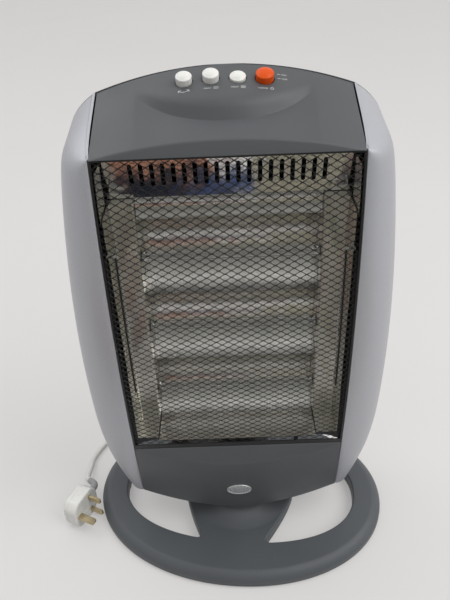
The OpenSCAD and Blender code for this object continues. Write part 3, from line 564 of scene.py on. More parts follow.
def set_camera(scene):
    lens = bpy.data.cameras.new("camera")
    lens.sensor_fit, lens.sensor_width, lens.lens = "AUTO", SENSOR, LENS
    lens.clip_start, lens.clip_end = 0.01, 60.0
    camera = bpy.data.objects.new("camera", lens)
    scene.collection.objects.link(camera)
    pitch, yaw, roll = (math.radians(a) for a in (CAMERA_PITCH, CAMERA_YAW, CAMERA_ROLL))
    ahead = Vector((math.sin(yaw) * math.cos(pitch), math.cos(yaw) * math.cos(pitch), -math.sin(pitch)))
    right = Vector((math.cos(yaw), -math.sin(yaw), 0))
    down = ahead.cross(right)
    right, down = (math.cos(roll) * right + math.sin(roll) * down, -math.sin(roll) * right + math.cos(roll) * down)
    turn = Matrix((right, -down, -ahead)).transposed().to_4x4()
    camera.matrix_world = Matrix.Translation(CAMERA_AT) @ turn
    scene.camera = camera


def lay_floor(scene, colour):
    floor = bpy.data.objects.new("floor", bpy.data.meshes.new("floor"))
    scene.collection.objects.link(floor)
    floor.data.from_pydata([(-7, -7, 0), (7, -7, 0), (7, 9, 0), (-7, 9, 0)], [], [(0, 1, 2, 3)])
    pale = finish("pale floor", tuple(FLOOR_LIT * c for c in colour), 0.85, mottle=(1.3, 0.02), rough_spread=0.05,
                  grain=(500.0, 0.01), Specular_IOR_Level=0.2)
    floor.data.materials.append(pale)
    link = pale.node_tree.links.new
    shader = pale.node_tree.nodes["Principled BSDF"]
    shader.inputs["Emission Color"].default_value = (*colour, 1)
    glow = node(pale.node_tree, "ShaderNodeMath", (-200, -500), operation="MULTIPLY")
    glow.inputs[1].default_value = FLOOR_GLOW
    link(background_rays(pale.node_tree), glow.inputs[0])
    link(glow.outputs[0], shader.inputs["Emission Strength"])


def light_room(scene, wall_colour):
    """The world: more light from overhead than from the walls, and the wall's colour where it is seen itself."""
    world = bpy.data.worlds.new("studio")
    scene.world = world
    world.use_nodes = True
    tree = world.node_tree
    tree.nodes.clear()
    link = tree.links.new
    sky = node(tree, "ShaderNodeBackground", (-400, 0))
    sky.inputs["Color"].default_value = (1.0, 0.99, 0.97, 1)
    place = node(tree, "ShaderNodeTexCoord", (-1000, -100))
    height = node(tree, "ShaderNodeSeparateXYZ", (-800, -100))
    level = node(tree, "ShaderNodeMapRange", (-600, -100))
    level.inputs["From Min"].default_value, level.inputs["From Max"].default_value = 0.0, 1.0
    level.inputs["To Min"].default_value, level.inputs["To Max"].default_value = SKY_LOW, SKY_HIGH
    link(place.outputs["Generated"], height.inputs[0])
    link(height.outputs["Z"], level.inputs["Value"])
    link(level.outputs["Result"], sky.inputs["Strength"])
    wall = node(tree, "ShaderNodeBackground", (-400, -200))
    wall.inputs["Color"].default_value = (*wall_colour, 1)
    wall.inputs["Strength"].default_value = 1.0
    both = node(tree, "ShaderNodeMixShader", (0, 0))
    link(background_rays(tree), both.inputs[0])
    link(sky.outputs[0], both.inputs[1])
    link(wall.outputs[0], both.inputs[2])
    out = node(tree, "ShaderNodeOutputWorld", (200, 0))
    link(both.outputs[0], out.inputs["Surface"])


class HEATER_OT_stage(bpy.types.Operator):
    """Set the camera where the picture was taken, with a pale floor and soft studio light"""
    bl_idname = "heater.stage"
    bl_label = "Stage and camera"

    def execute(self, context):
        scene, pale = context.scene, tuple(colours().floor)
        set_camera(scene)
        lay_floor(scene, pale)
        light_room(scene, pale)
        soft_light("window light", (1.5, -0.6, 2.1), (0, 0, 0.3), 1.8, 26.0, (1.0, 0.99, 0.97))
        soft_light("room light", (-1.3, 0.8, 2.2), (0, 0, 0.3), 1.6, 8.0, (0.97, 0.98, 1.0))
        for row in CARDS:
            card(*row)
        scene.view_settings.view_transform = "Standard"
        return {"FINISHED"}


# ---- Supply cord
def unit(v):
    return Vector(v).normalized()


def chaikin(points, rounds):
    """Cuts the corners of a line, as the frame's source smooths its routes."""
    points = [Vector(p) for p in points]
    for _ in range(rounds):
        cut = [points[0]]
        for a, b in zip(points, points[1:]):
            cut += [a * 0.75 + b * 0.25, a * 0.25 + b * 0.75]
        points = cut + [points[-1]]
    return points


CORD_D, COIL_R, COIL_X, COIL_Y = 7.0, 42.0, 8.0, 200.0
COIL_LAYERS, LAYER_TURNS, CORD_STEP, COIL_STEPS = 4, 1.375, 7.5, 24
EXIT_X, EXIT_Z, INNER_R = 33.0, 9.5, 3.0
EXIT_Y = BASE_DEEP * (1 - (EXIT_X / BASE_HALF) ** BASE_SQUARE) ** (1 / BASE_SQUARE)
RELIEF_IN, RELIEF_OUT = 18.5, 24.5  # length of the strain relief inside and outside the base
LEAD_IN_Y = EXIT_Y - RELIEF_IN
RELIEF_END = Vector(from_base((EXIT_X, EXIT_Y + 25, EXIT_Z)))
RELIEF_DIR = Vector((math.sin(math.radians(REST_TURN)), math.cos(math.radians(REST_TURN)), 0))
PLUG_TURN, PLUG_AT, PLUG_W, PLUG_T, PLUG_HALF = 64.0, (-203.5, -24.0), 42.0, 20.0, 23.0
# Each contact pin: its place along and across the plug, its size across and along, and how far it stands out
PLUG_PINS = ((8, 11.1, 6.4, 4, 17.7), (8, -11.1, 6.4, 4, 17.7), (-14.2, 0, 4, 8, 22.7))
PIN_SUNK = 4.8
PLUG_DIR = Vector((math.cos(math.radians(PLUG_TURN)), math.sin(math.radians(PLUG_TURN)), 0))
SLEEVE_START = Vector((*PLUG_AT, PLUG_W / 2)) + PLUG_HALF * PLUG_DIR
SLEEVE_MID = SLEEVE_START + 12 * PLUG_DIR
SLEEVE_END = Vector((-199, 19, 15))
SLEEVE_DIR = (SLEEVE_END - SLEEVE_MID).normalized()


def coil_point(t):
    radius = COIL_R - CORD_STEP * (LAYER_TURNS - abs(t % (2 * LAYER_TURNS) - LAYER_TURNS))
    climb = 0.0
    for k in range(1, COIL_LAYERS):
        f = min(1.0, max(0.0, (t - k * LAYER_TURNS + 0.25) / 0.5))
        climb += f * f * (3 - 2 * f)
    a = 2 * math.pi * t
    height = CORD_D / 2 + 0.02 + CORD_STEP * climb
    return Vector((COIL_X + radius * math.cos(a), COIL_Y + radius * math.sin(a), height))


def cord_route():
    end_t = COIL_LAYERS * LAYER_TURNS - 1 / 6
    turns = [coil_point(k / COIL_STEPS) for k in range(int(math.floor(end_t * COIL_STEPS + 1e-9)) + 1)]
    start = turns[0] - Vector((0, CORD_D, 0))
    a = 2 * math.pi * end_t + math.pi / 2
    out = Vector((math.cos(a), math.sin(a), 0))
    last = turns[-1] + CORD_D * out
    lead_in = chaikin([RELIEF_END, RELIEF_END + 8 * RELIEF_DIR, (52, 174, 5), start - Vector((0, 8, 0)), start], 2)
    lead_out = chaikin([last, last + 12 * out, (-58, 212, 18), (-96, 190, 7), (-130, 164, 3.6), (-160, 134, 3.6),
                        (-184, 104, 3.6), (-198, 80, 3.6), (-204, 62, 4.5), (-203, 46, 8),
                        SLEEVE_END + 9 * SLEEVE_DIR, SLEEVE_END], 2)
    return lead_in + turns + lead_out


def plug_matrix():
    return Matrix.Translation((*PLUG_AT, PLUG_W / 2)) @ turned_z(PLUG_TURN)


def rounded_box(low, high, edge, segments=3):
    """A block with rounded edges as (verts, faces), through a small bmesh of its own."""
    bm = bmesh.new()
    bmesh.ops.create_cube(bm, size=1.0)
    for v in bm.verts:
        v.co = Vector([mix(low[i], high[i], v.co[i] + 0.5) for i in range(3)])
    bmesh.ops.bevel(bm, geom=list(bm.edges), offset=edge, segments=segments, affect="EDGES", profile=0.5)
    part = [tuple(v.co) for v in bm.verts], [tuple(v.index for v in f.verts) for f in bm.faces]
    bm.free()
    return part


def prism(outline, low, high, axis="Y"):
    """An outline run along an axis: Y takes points of (x, z), and Z takes points of (x, y)."""
    if axis == "Y":
        return loft([[(a, t, b) for a, b in outline] for t in (low, high)])
    return loft([[(a, b, t) for a, b in outline] for t in (low, high)])


def along(start, direction):
    """A matrix whose Z runs along a level direction."""
    z = unit(direction)
    x = unit(Vector((0, 0, 1)).cross(z))
    y = z.cross(x)
    return Matrix.Translation(start) @ Matrix((x, y, z)).transposed().to_4x4()


def ribbed(length, wide, thin, ribs):
    """A tapered ribbed sleeve along Z, with a collar at its start."""
    collar, groove, first, last = wide + 1.0, 0.75, 4.0, length - 1.5
    profile = [(0.0, 0.0), (collar - 0.6, 0.0), (collar, 0.6), (collar, 2.4), (collar - 0.6, 3.0), (wide, 3.2)]
    for k in range(ribs):
        z0, z1 = mix(first, last, k / ribs), mix(first, last, (k + 1) / ribs)
        r0, r1 = mix(wide, thin, k / ribs), mix(wide, thin, (k + 1) / ribs)
        profile += [(r0, z0), (mix(r0, r1, 0.5), mix(z0, z1, 0.55)), (mix(r0, r1, 0.55) - groove, mix(z0, z1, 0.63)),
                    (mix(r0, r1, 0.9) - groove, mix(z0, z1, 0.92))]
    profile += [(thin, length - 1.4), (thin - 0.1, length - 0.4), (thin - 0.5, length), (0.0, length)]
    return lathe(profile, 32)


def relief_sleeve():
    at = along(Vector(from_base((EXIT_X, LEAD_IN_Y, EXIT_Z))), RELIEF_DIR)
    return solid("cord_relief_sleeve", moved(ribbed(RELIEF_IN + RELIEF_OUT, 5.0, 4.1, 7), at))


def coil_tie():
    """A flat strap round the turns of the coil on one side, with its clasp on top."""
    tie_mid = COIL_R - 0.5 * CORD_STEP * LAYER_TURNS
    half = 0.5 * CORD_STEP * LAYER_TURNS + CORD_D / 2 + 0.35
    top = CORD_D + (COIL_LAYERS - 1) * CORD_STEP + 0.5
    loops = []
    for y, grow in ((-2.6, 0.5), (-2.3, 1.0), (2.3, 1.0), (2.6, 0.5)):
        corners = [(-half - grow, 0.0), (half + grow, 0.0), (half + grow, top + grow), (-half - grow, top + grow)]
        loops.append([(a, y, max(b, 0.02)) for a, b in eased(corners, [3.0] * 4, 6)])
    inner = [[(a, y, b) for a, b in eased([(-half, 0.25), (half, 0.25), (half, top), (-half, top)], [2.6] * 4, 6)]
             for y in (2.6, -2.6)]
    strap = band(loops + inner + [loops[0]], wrap=True)
    clasp = rounded_box((-3.2, -3.8, top + 0.7), (3.2, 3.8, top + 1.19), 0.2)
    at = Matrix.Translation((COIL_X, COIL_Y, 0)) @ turned_z(215)
    return solid("coil_tie_strap", moved(joined([strap, clasp]), at @ Matrix.Translation((tie_mid, 0, 0))))


def plug_sleeve():
    """The bent sleeve behind the plug, with ribs round it that thin out with it."""
    path = chaikin([SLEEVE_START - 1.5 * PLUG_DIR, SLEEVE_MID, SLEEVE_END], 4)
    lengths = [0.0]
    for a, b in zip(path, path[1:]):
        lengths.append(lengths[-1] + (b - a).length)
    steps = 90
    fine, radii = [], []
    for k in range(steps + 1):
        s = lengths[-1] * k / steps
        i = max(j for j in range(len(lengths) - 1) if lengths[j] <= s + 1e-9)
        fine.append(path[i].lerp(path[i + 1], (s - lengths[i]) / (lengths[i + 1] - lengths[i])))
        rib = 0.35 * (0.5 + 0.5 * math.cos(2 * math.pi * k / 9)) if 12 < k < 84 else 0.1
        radii.append(mix(4.55, 3.95, k / steps) - 0.3 + rib)
    return solid("plug_cord_sleeve", swept(fine, radii, 24))


def pin_corners(pin, grow=0.0):
    """The four corners of a contact pin's section."""
    x, z, tall, wide, _ = pin
    return [(x - wide / 2 - grow, z - tall / 2 - grow), (x + wide / 2 + grow, z - tall / 2 - grow),
            (x + wide / 2 + grow, z + tall / 2 + grow), (x - wide / 2 - grow, z + tall / 2 + grow)]


def plug_shell():
    """The plug's body with its parting groove, crowned back, pin sockets and the gap of its fuse holder."""
    turn, half_t, w = plug_matrix(), PLUG_T / 2, PLUG_W / 2
    outline = [(-22, -w + 9), (-14, -w), (14, -w), (PLUG_HALF, -10), (PLUG_HALF, 10), (14, w), (-14, w), (-22, w - 9)]
    outline = eased(outline, [4.5, 4.5, 4, 4, 4, 4, 4.5, 4.5], 5)
    centre = Vector((0.5, 0))
    rows = []
    for y, inset in ((-half_t, 2.0), (-half_t + 0.25, 1.0), (-half_t + 0.9, 0.25), (-half_t + 1.6, 0.0), (2.4, 0.0),
                     (2.55, 0.35), (2.95, 0.35), (3.1, 0.0), (half_t - 3.4, 0.25), (half_t - 1.7, 0.9),
                     (half_t - 0.6, 2.0), (half_t - 0.1, 3.6), (half_t, 5.4)):
        row = []
        for a, b in outline:
            d = Vector((a, b)) - centre
            row.append((a - d.x / d.length * inset, y, b - d.y / d.length * inset))
        rows.append(row)
    body = solid("plug_shell", moved(loft(rows), turn))
    cutters = [solid("socket", moved(prism(pin_corners(pin, 0.05), -half_t - 2, -half_t + PIN_SUNK + 0.1), turn))
               for pin in PLUG_PINS]
    fuse = eased([(-2.5, -6.0), (3.5, -6.0), (3.5, 6.0), (-2.5, 6.0)], [1.2] * 4, 3)
    cutters.append(solid("fuse_gap", moved(prism(fuse, -half_t - 2, -half_t + 0.5), turn)))
    return carved(body, cutters)


def plug_pins():
    turn, face, pins = plug_matrix(), -PLUG_T / 2, []
    for pin in PLUG_PINS:
        x, z, *_, reach = pin
        rows = []
        tip = face - reach
        for y, inset in ((face + PIN_SUNK, 0.0), (tip + 1.6, 0.0), (tip + 0.7, 0.45), (tip + 0.02, 1.25)):
            pulled = [(a - math.copysign(inset, a - x), b - math.copysign(inset, b - z)) for a, b in pin_corners(pin)]
            rows.append([(a, y, b) for a, b in eased(pulled, [0.5] * 4, 3)])
        pins.append(moved(loft(rows), turn))
    return solid("plug_contact_pins", joined(pins))


class HEATER_OT_cord(bpy.types.Operator):
    """Lay the supply cord from the base to its coil and on to the plug, with its sleeve, relief and tie"""
    bl_idname = "heater.cord"
    bl_label = "Supply cord"

    def execute(self, context):
        route = [p * MM for p in cord_route()]
        curve = bpy.data.curves.new("supply_cord_lead", "CURVE")
        curve.dimensions, curve.use_fill_caps = "3D", True
        curve.bevel_depth, curve.bevel_resolution = CORD_D / 2 * MM, 5
        line = curve.splines.new("POLY")
        line.points.add(len(route) - 1)
        for point, p in zip(line.points, route):
            point.co = (*p, 1)
        line.use_smooth = True
        cord = bpy.data.objects.new("supply_cord_lead", curve)
        context.scene.collection.objects.link(cord)
        curve.materials.append(cable_vinyl())
        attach(cord, "base")
        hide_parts("supply_cord", "cord_coil", "plug_lead")

        relief = placed(relief_sleeve(), "base", cable_vinyl(), ["cord_strain_relief"], 50)
        tie = placed(coil_tie(), "base", black_plastic(), ["cord_tie"])
        sleeve = placed(plug_sleeve(), "base", sleeve_vinyl(), ["plug_sleeve"], 55)
        body = placed(plug_shell(), "base", white_plastic(), ["plug_body"], 32, weighted=True)
        pins = placed(plug_pins(), "base", brass(), ["plug_pins"], 40)

        return {"FINISHED"}


# ---- Base
OPENING_HALF, OPENING_DEEP, OPENING_SQUARE = 146.0, 82.0, 2.3  # outline of the two openings together
OPENING_MIDDLE, OPENING_ROUND = 106.0, 7.0  # a point well inside an opening, and the radius of its corners
BRIDGE_HALF, BRIDGE_TIP = 70.0, 44.0  # half the width of the bridge at the middle, and at the tips of the openings
TIP_SHARE = 0.82  # where the tips stand, as a share of the outline's depth
OPENING_RAYS = 180
RIM = 2.6  # radius of the edge round an opening


def opening_distance(x, y):
    """How far a point lies outside the right-hand opening, with its corners rounded."""
    a, b, n = OPENING_HALF, OPENING_DEEP, OPENING_SQUARE
    level = (abs(x / a) ** n + abs(y / b) ** n) ** (1 / n)
    gx = (abs(x / a) ** (n - 1)) / a
    gy = (abs(y / b) ** (n - 1)) / b
    slope = math.hypot(gx, gy) * level ** (1 - n) if level > 0 else 1
    outer = (level - 1) / max(slope, 1e-6)
    tip_y, wide, tip = b * TIP_SHARE, BRIDGE_HALF, BRIDGE_TIP
    reach = math.sqrt(y * y + 20)
    run = (wide - tip) * BRIDGE_BOW * (reach / tip_y) ** (BRIDGE_BOW - 1) / tip_y
    inner = (wide - (wide - tip) * (reach / tip_y) ** BRIDGE_BOW - x) / math.hypot(1, run)
    u, v = outer + OPENING_ROUND, inner + OPENING_ROUND
    return math.hypot(max(u, 0), max(v, 0)) + min(max(u, v), 0) - OPENING_ROUND


def opening_outline(grow, side):
    """The outline of an opening, grown outwards, found by halving on rays from its middle."""
    points = []
    for i in range(OPENING_RAYS):
        a = 2 * math.pi * i / OPENING_RAYS
        c, s = math.cos(a), math.sin(a)
        low, high = 0.0, 120.0
        for _ in range(26):
            mid = (low + high) / 2
            if opening_distance(OPENING_MIDDLE + mid * c, mid * s) < grow:
                low = mid
            else:
                high = mid
        points.append((side * (OPENING_MIDDLE + low * c), low * s))
    return points


def base_ring(inset, z, steps=240):
    """The base's outline at a height, smaller by the inset."""
    return [from_base((x, y, z)) for x, y in oval(BASE_HALF - inset, BASE_DEEP - inset, BASE_SQUARE, steps)]


def ring_spots(share_x, share_y, angles):
    """Places on the base's ring, at shares of its half sizes."""
    turns = [math.radians(a) for a in angles]
    return [(BASE_HALF * share_x * math.cos(a), BASE_DEEP * share_y * math.sin(a)) for a in turns]


def base_skin():
    """The solid ring with its rounded rim, and the neck's flare on it."""
    rows = [base_ring(1.0, 2.3), base_ring(0.35, 2.5), base_ring(0.05, 2.9), base_ring(0.0, 3.6), base_ring(0.0, 8.0)]
    for k in range(25):
        s = (k / 24) ** 1.4
        rows.append(base_ring(12 * s, 9 + 10 * (1 - (1 - s) ** 1.7) ** (1 / 1.5)))
    ring = solid("base_skin", loft(rows))

    neck = [(0.0, 14.0), (NECK_R + FLARE, 14.0), (NECK_R + FLARE, BASE_TOP - 0.05)]
    for k in span(1.0, 0.0, 28):
        neck.append((NECK_R + FLARE * k ** 2.1, BASE_TOP + (NECK_TOP - 2.6 - BASE_TOP) * (1 - k) ** 1.25))
    neck += [(NECK_R - 0.1, 32.6), (NECK_R - 0.5, 33.4), (NECK_R - 1.2, 33.9), (NECK_R - 2.2, NECK_TOP)]
    neck.append((0.0, NECK_TOP))
    return carved(ring, [solid("neck_flare", lathe(neck, 144))], "UNION")


class HEATER_OT_base(bpy.types.Operator):
    """Form the oval base with its rounded rim, crescent openings and hollow neck"""
    bl_idname = "heater.base"
    bl_label = "Base"

    def execute(self, context):
        ring = base_skin()
        # the wall of an opening stands straight, turns over at the ring's top, and keeps clear of the flare
        stations = [(-6.0, 0.0), (BASE_TOP - RIM, 0.0)]
        for deg in range(10, 80, 10):
            a = math.radians(deg)
            stations.append((BASE_TOP - RIM + RIM * math.sin(a), RIM * (1 - math.cos(a))))
        stations += [(BASE_TOP + 0.35, 3.3), (BASE_TOP + 0.7, 3.7), (40.0, 4.2)]
        cutters = []
        for side in (1, -1):
            walls = [[from_base((x, y, z)) for x, y in opening_outline(grow, side)] for z, grow in stations]
            cutters.append(solid("opening", loft(walls)))
        cutters.append(solid("plate_recess", loft([base_ring(2.8, -3.0, 160), base_ring(2.8, 3.8, 160)])))
        cutters.append(solid("post_hole", lathe([(0, -4), (8.3, -4), (8.3, 40), (0, 40)], 48)))
        at = along(Vector(from_base((EXIT_X, EXIT_Y, EXIT_Z))), RELIEF_DIR)
        cutters.append(solid("exit_hole", moved(lathe([(0, -20), (5.3, -20), (5.3, 12), (0, 12)], 40), at)))
        carved(ring, cutters)
        placed(ring, "base", base_plastic(), ["base_shell"], 30, weighted=True)

        pad = lathe([(0, 0.35), (4.2, 0.35), (5.0, 0.02), (8.2, 0.02), (8.8, 0.5), (8.9, 1.98), (0, 1.98)], 40)
        spots = ring_spots(0.84, 0.88, (52, 128, 232, 308)) + [(-2 * BASE_HALF * 0.43, 0), (2 * BASE_HALF * 0.43, 0)]
        feet = [moved(pad, Matrix.Translation(from_base((x, y, 0)))) for x, y in spots]
        placed(solid("base_pads", joined(feet)), "base", foot_rubber(), ["rubber_feet"], 35)
        return {"FINISHED"}


# ---- Silver side panels
SKIN = 2.2  # wall of a silver panel
FRONT_POINTS = 38  # points of its outline before the straight end


def side_lean(z):
    """How far the panel's front edge stands above its seam, for a level named by its seam."""
    if z < 116:
        return 15 * (116 - z) / 70
    return -31 * ((z - 440) / 79) ** 2 if z > 440 else 0.0


def side_section(z, mirror):
    """One level of a side panel as a thin closed loop: round edge, quarter of an ellipse, straight to the seam."""
    lean, back, xi = side_lean(z), SEAM_Y - SEAM_GAP, PANEL_HALF + SEAM_GAP
    yf = front_y(z + lean)
    w = max(side_x(z), xi + 3.2)
    outer = [(xi, yf + 6.0), (xi, yf + 1.6), (xi + 0.12, yf + 0.9), (xi + 0.45, yf + 0.36)]
    for k in range(35):
        a = math.pi / 2 * (k / 34) ** 0.9
        x = xi + (w - xi) * math.sin(a)
        if x > xi + 1.0:
            outer.append((x, WIDE_Y - (WIDE_Y - yf) * math.cos(a)))
    while len(outer) < FRONT_POINTS:
        outer.insert(5, tuple(mix(a, b, 0.5) for a, b in zip(outer[4], outer[5])))
    outer = outer[:FRONT_POINTS]
    half_back = mix(outer[-1][1], back, 0.5)
    outer += [(w, half_back), (w, back - 1.2), (w - 0.12, back - 0.4), (w - 0.55, back)]

    inner = []
    for i, (x, y) in enumerate(outer):
        a, b = outer[max(i - 1, 0)], outer[min(i + 1, len(outer) - 1)]
        d = Vector((b[0] - a[0], b[1] - a[1]))
        d = d.normalized() if d.length > 1e-6 else Vector((1, 0))
        x -= SKIN * d.y
        inner.append((max(x, xi + 1.0) if i < 6 else x, y + SKIN * d.x))
    inner[:4] = [(xi + 1.1, yf + 6.0), (xi + 1.1, yf + 4.5), (xi + 1.2, yf + 3.4), (xi + 1.4, yf + 2.9)]
    inner[-4:] = [(w - SKIN, half_back), (w - SKIN, back - 1.2), (w - 2.0, back - 0.4), (w - 1.8, back)]
    sign = -1 if mirror else 1
    return [(sign * x, y, z + lean * (back - y) / (back - yf)) for x, y in outer + inner[::-1]]


def side_levels():
    """Heights of the levels, closer together where the panel bends."""
    levels = [46.0, 46.6, 48.0] + span(51, 111, 14) + [113.5, 116.0, 118.5] + span(124, 436, 42) + [440, 444]
    levels += span(449, 500, 24) + span(501.5, 516.5, 12) + [517.6, 518.5, 519.0]
    return levels


class HEATER_OT_side_panels(bpy.types.Operator):
    """Form the two silver side panels with their round front edges"""
    bl_idname = "heater.side_panels"
    bl_label = "Side panels"

    def execute(self, context):
        for mirror, name, old in ((True, "left_silver_panel", "left_side_panel"),
                                  (False, "right_silver_panel", "right_side_panel")):
            panel = solid(name, loft([side_section(z, mirror) for z in side_levels()], ends="strip"))
            placed(panel, "head", silver_plastic(), [old], 38)
        return {"FINISHED"}


# ---- Dark panels of the head
def scoop_depth(x):
    """1 along the deck, falling to 0 at the ends of the scoop."""
    return max(0.0, 1 - (max(0.0, abs(x) - DECK_HALF) / (SCOOP_HALF - DECK_HALF)) ** 2)


def deck_line(x):
    """The points of the top panel's section that its outside needs."""
    u, s = x / TOP_HALF, scoop_depth(x)
    b = 1 - u * u
    zr, zt = HEAD_TOP - arch(x), GRILLE_HIGH + SEAM_GAP
    yt = front_y(zt)
    yc, zc = yt + LEDGE_OUT * b + 0.5, zt + LEDGE_UP * b + 0.4
    rear = SEAM_Y - SEAM_GAP
    ys = min(SCOOP_Y + SCOOP_BOW * (abs(x) / SCOOP_HALF) ** 2.15, rear - 20)
    yd = ys + SCOOP_RUN

    def straight(y):
        return zr + (zc - zr) * (rear - y) / (rear - yc)
    zd = (zr - DECK_SLOPE * (rear - yd)) * s + straight(yd) * (1 - s)
    return rear, zr, yd, zd, ys, straight(ys) - SCOOP_SUNK * s, yc, zc, yt, zt, straight


def deck_z(x, y):
    rear, zr, yd, zd, *_ = deck_line(x)
    return zr + (zd - zr) * (rear - y) / (rear - yd)


def top_section(x):
    """The top panel's closed section at x: deck, scoop, ledge and the inside of its wall."""
    rear, zr, yd, zd, ys, zs, yc, zc, yt, zt, straight = deck_line(x)
    s, w = scoop_depth(x), WALL
    yi = max(yc + 2, yt + 10)
    zi = max(straight(yi) - w - 0.6, zt + 1.7)
    points = [(yd, zd), (ys, zs), (yc, zc), (yt, zt), (yt + w + 4, zt), (yt + w + 4, zt + 1.5), (yi, zi),
              (ys + 2.5, zs - w), (yd + 3, zd - w - 1), (rear - w, zr - w - 1), (rear - w, zr - 16), (rear, zr - 16),
              (rear, zr)]
    reaches = [1.0 + 6.5 * s, 0.4 + 0.3 * s, 1.6, 0.9] + [0.4] * 8 + [1.3]
    return [(x, y, z) for y, z in eased(points, reaches, 7)]


def bottom_section(x):
    """The bottom panel's closed section at x: slope to the crease, chin, and the inside of its wall."""
    u = x / PANEL_HALF
    b, zt = 1 - u * u, GRILLE_LOW - SEAM_GAP
    yt = front_y(zt)
    zc, yc = zt - 17.5 * b - 0.6, yt - 9.6 * b
    zb, yb = 42 + 20 * abs(u) ** 1.7, -50 + 14 * u * u
    w, mid = WALL, (zc + zb) / 2
    points = [(yt, zt), (yc, zc), (yc + 3.5, mid), (yb, zb), (-24.3, 46), (-24.3, 48.5), (yb + w + 4, zb + w + 2),
              (yc + 3.5 + w, mid), (yc + w, zc - 1.2), (yt + w + 4, zt - 1.5), (yt + w + 4, zt)]
    reaches = [0.8, 0.5 + 2.6 * b, 14.0, 2.6, 0.6, 0.5, 1.0, 14.0, 1.0, 0.5, 0.5]
    return [(x, y, z) for y, z in eased(points, reaches, 6)]


def on_deck(x):
    """A matrix at a button's place whose Z runs out of the deck."""
    z = HEAD_TOP - arch(x) - DECK_SLOPE * (SEAM_Y - SEAM_GAP - BUTTON_Y)
    return Matrix.Translation((x, BUTTON_Y, z)) @ Matrix.Rotation(math.atan(DECK_SLOPE), 4, "X")


def on_chin():
    """A matrix at the badge's place whose Y runs into the panel."""
    return Matrix.Translation(BADGE_AT) @ turned_x(CHIN_TILT)


def button_r(i):
    return POWER_R if i == POWER else BUTTON_R


class HEATER_OT_dark_panels(bpy.types.Operator):
    """Form the top panel with its scoop and button holes, and the bottom panel with its crease and badge recess"""
    bl_idname = "heater.dark_panels"
    bl_label = "Top and bottom panels"

    def execute(self, context):
        top = solid("top_cover", loft([top_section(x) for x in span(-TOP_HALF, TOP_HALF, 160)]))
        holes = []
        for i, x in enumerate(BUTTON_XS):
            r = button_r(i) + 0.7
            holes.append(solid("hole", moved(lathe([(0, -14), (r, -14), (r, 14), (0, 14)], 64), on_deck(x))))
        carved(top, holes)
        placed(top, "head", dark_plastic(), ["top_panel"], 32)

        bottom = solid("bottom_cover", loft([bottom_section(x) for x in span(-TOP_HALF, TOP_HALF, 100)]))
        recess = oval(BADGE_HALF + 0.3, BADGE_DEEP + 0.3, 2, 96)
        carved(bottom, [solid("badge_recess", moved(prism(recess, -20, 0.8), on_chin()))])
        placed(bottom, "head", dark_plastic(), ["bottom_panel"], 28)
        return {"FINISHED"}


class HEATER_OT_badge(bpy.types.Operator):
    """Set a blank oval badge with a raised rim in its recess"""
    bl_idname = "heater.badge"
    bl_label = "Badge"

    def execute(self, context):
        rim = ((0.15, 0.78), (0.0, 0.6), (0.0, -0.55), (0.12, -0.78), (0.4, -0.9), (0.9, -0.9), (1.2, -0.78),
               (1.45, -0.5))
        rows = [[(x, y, z) for x, z in oval(BADGE_HALF - inset, BADGE_DEEP - inset, 2, 96)] for inset, y in rim]
        for k in span(1.0, 0.0, 10)[:-1]:
            rows.append([(x, -0.5 - 0.3 * (1 - k * k), z) for x, z in oval(12.9 * k, 7.4 * k, 2, 96)])
        badge = solid("blank_badge", moved(loft(rows), on_chin()))
        placed(badge, "head", badge_metal(), ["badge_blank"], 30)
        return {"FINISHED"}


# ---- Rear shell
REAR_SQUARE = 2.8


def rear_half(z):
    """Half width of the rear shell at a height; above the corner it follows the head's arched top."""
    if z <= CORNER_Z:
        return side_x(z)
    return side_x(CORNER_Z) * math.sqrt(max(0.0, (HEAD_TOP - z) / (HEAD_TOP - CORNER_Z)))


def rear_row(z, inset, front, steps=64):
    """The rear shell's outline at a height: straight at the front, half a superellipse behind the seam."""
    w, d, power = rear_half(z) - inset, max(rear_y(z) - inset - SEAM_Y, 0.8), 2 / REAR_SQUARE
    points = [(-w, front, z - inset), (w, front, z - inset)]
    for k in range(steps + 1):
        a = math.pi * k / steps
        c, s = math.cos(a), math.sin(a)
        points.append((w * math.copysign(abs(c) ** power, c), SEAM_Y + d * abs(s) ** power, z - inset))
    return points


def slot_outline(x0, x1, z0, z1, steps=8):
    """A slot with round ends."""
    r = (z1 - z0) / 2
    points = []
    for middle, start in ((x1 - r, -math.pi / 2), (x0 + r, math.pi / 2)):
        for k in range(steps + 1):
            a = start + math.pi * k / steps
            points.append((middle + r * math.cos(a), (z0 + z1) / 2 + r * math.sin(a)))
    return points


def cross_screw(head_r, head_h, shank_r, shank, at):
    """A pan head screw with a cross recess; its Z runs out of the head."""
    dome = [(head_r, 0.0), (head_r, head_h * 0.35)]
    for a in range(12, 90, 12):
        t = math.radians(a)
        dome.append((head_r * math.cos(t) ** 0.7, head_h * (0.35 + 0.65 * math.sin(t))))
    profile = [(0, -shank), (shank_r, -shank), (shank_r, 0.0)] + dome + [(0, head_h)]
    body = solid("screw", moved(lathe(profile, 36), at))
    blade = rounded_box((-head_r * 0.62, -0.42, head_h * 0.3), (head_r * 0.62, 0.42, head_h + 2), 0.1, 1)
    return carved(body, [solid("blade", moved(blade, at @ turned_z(turn))) for turn in (20, 110)])


def gathered(name, objects):
    """Several mesh objects as one."""
    bm = bmesh.new()
    for obj in objects:
        bm.from_mesh(obj.data)
    mesh = bpy.data.meshes.new(name)
    bm.to_mesh(mesh)
    bm.free()
    for obj in objects:
        old = obj.data
        bpy.data.objects.remove(obj)
        bpy.data.meshes.remove(old)
    made = bpy.data.objects.new(name, mesh)
    bpy.context.scene.collection.objects.link(made)
    return made


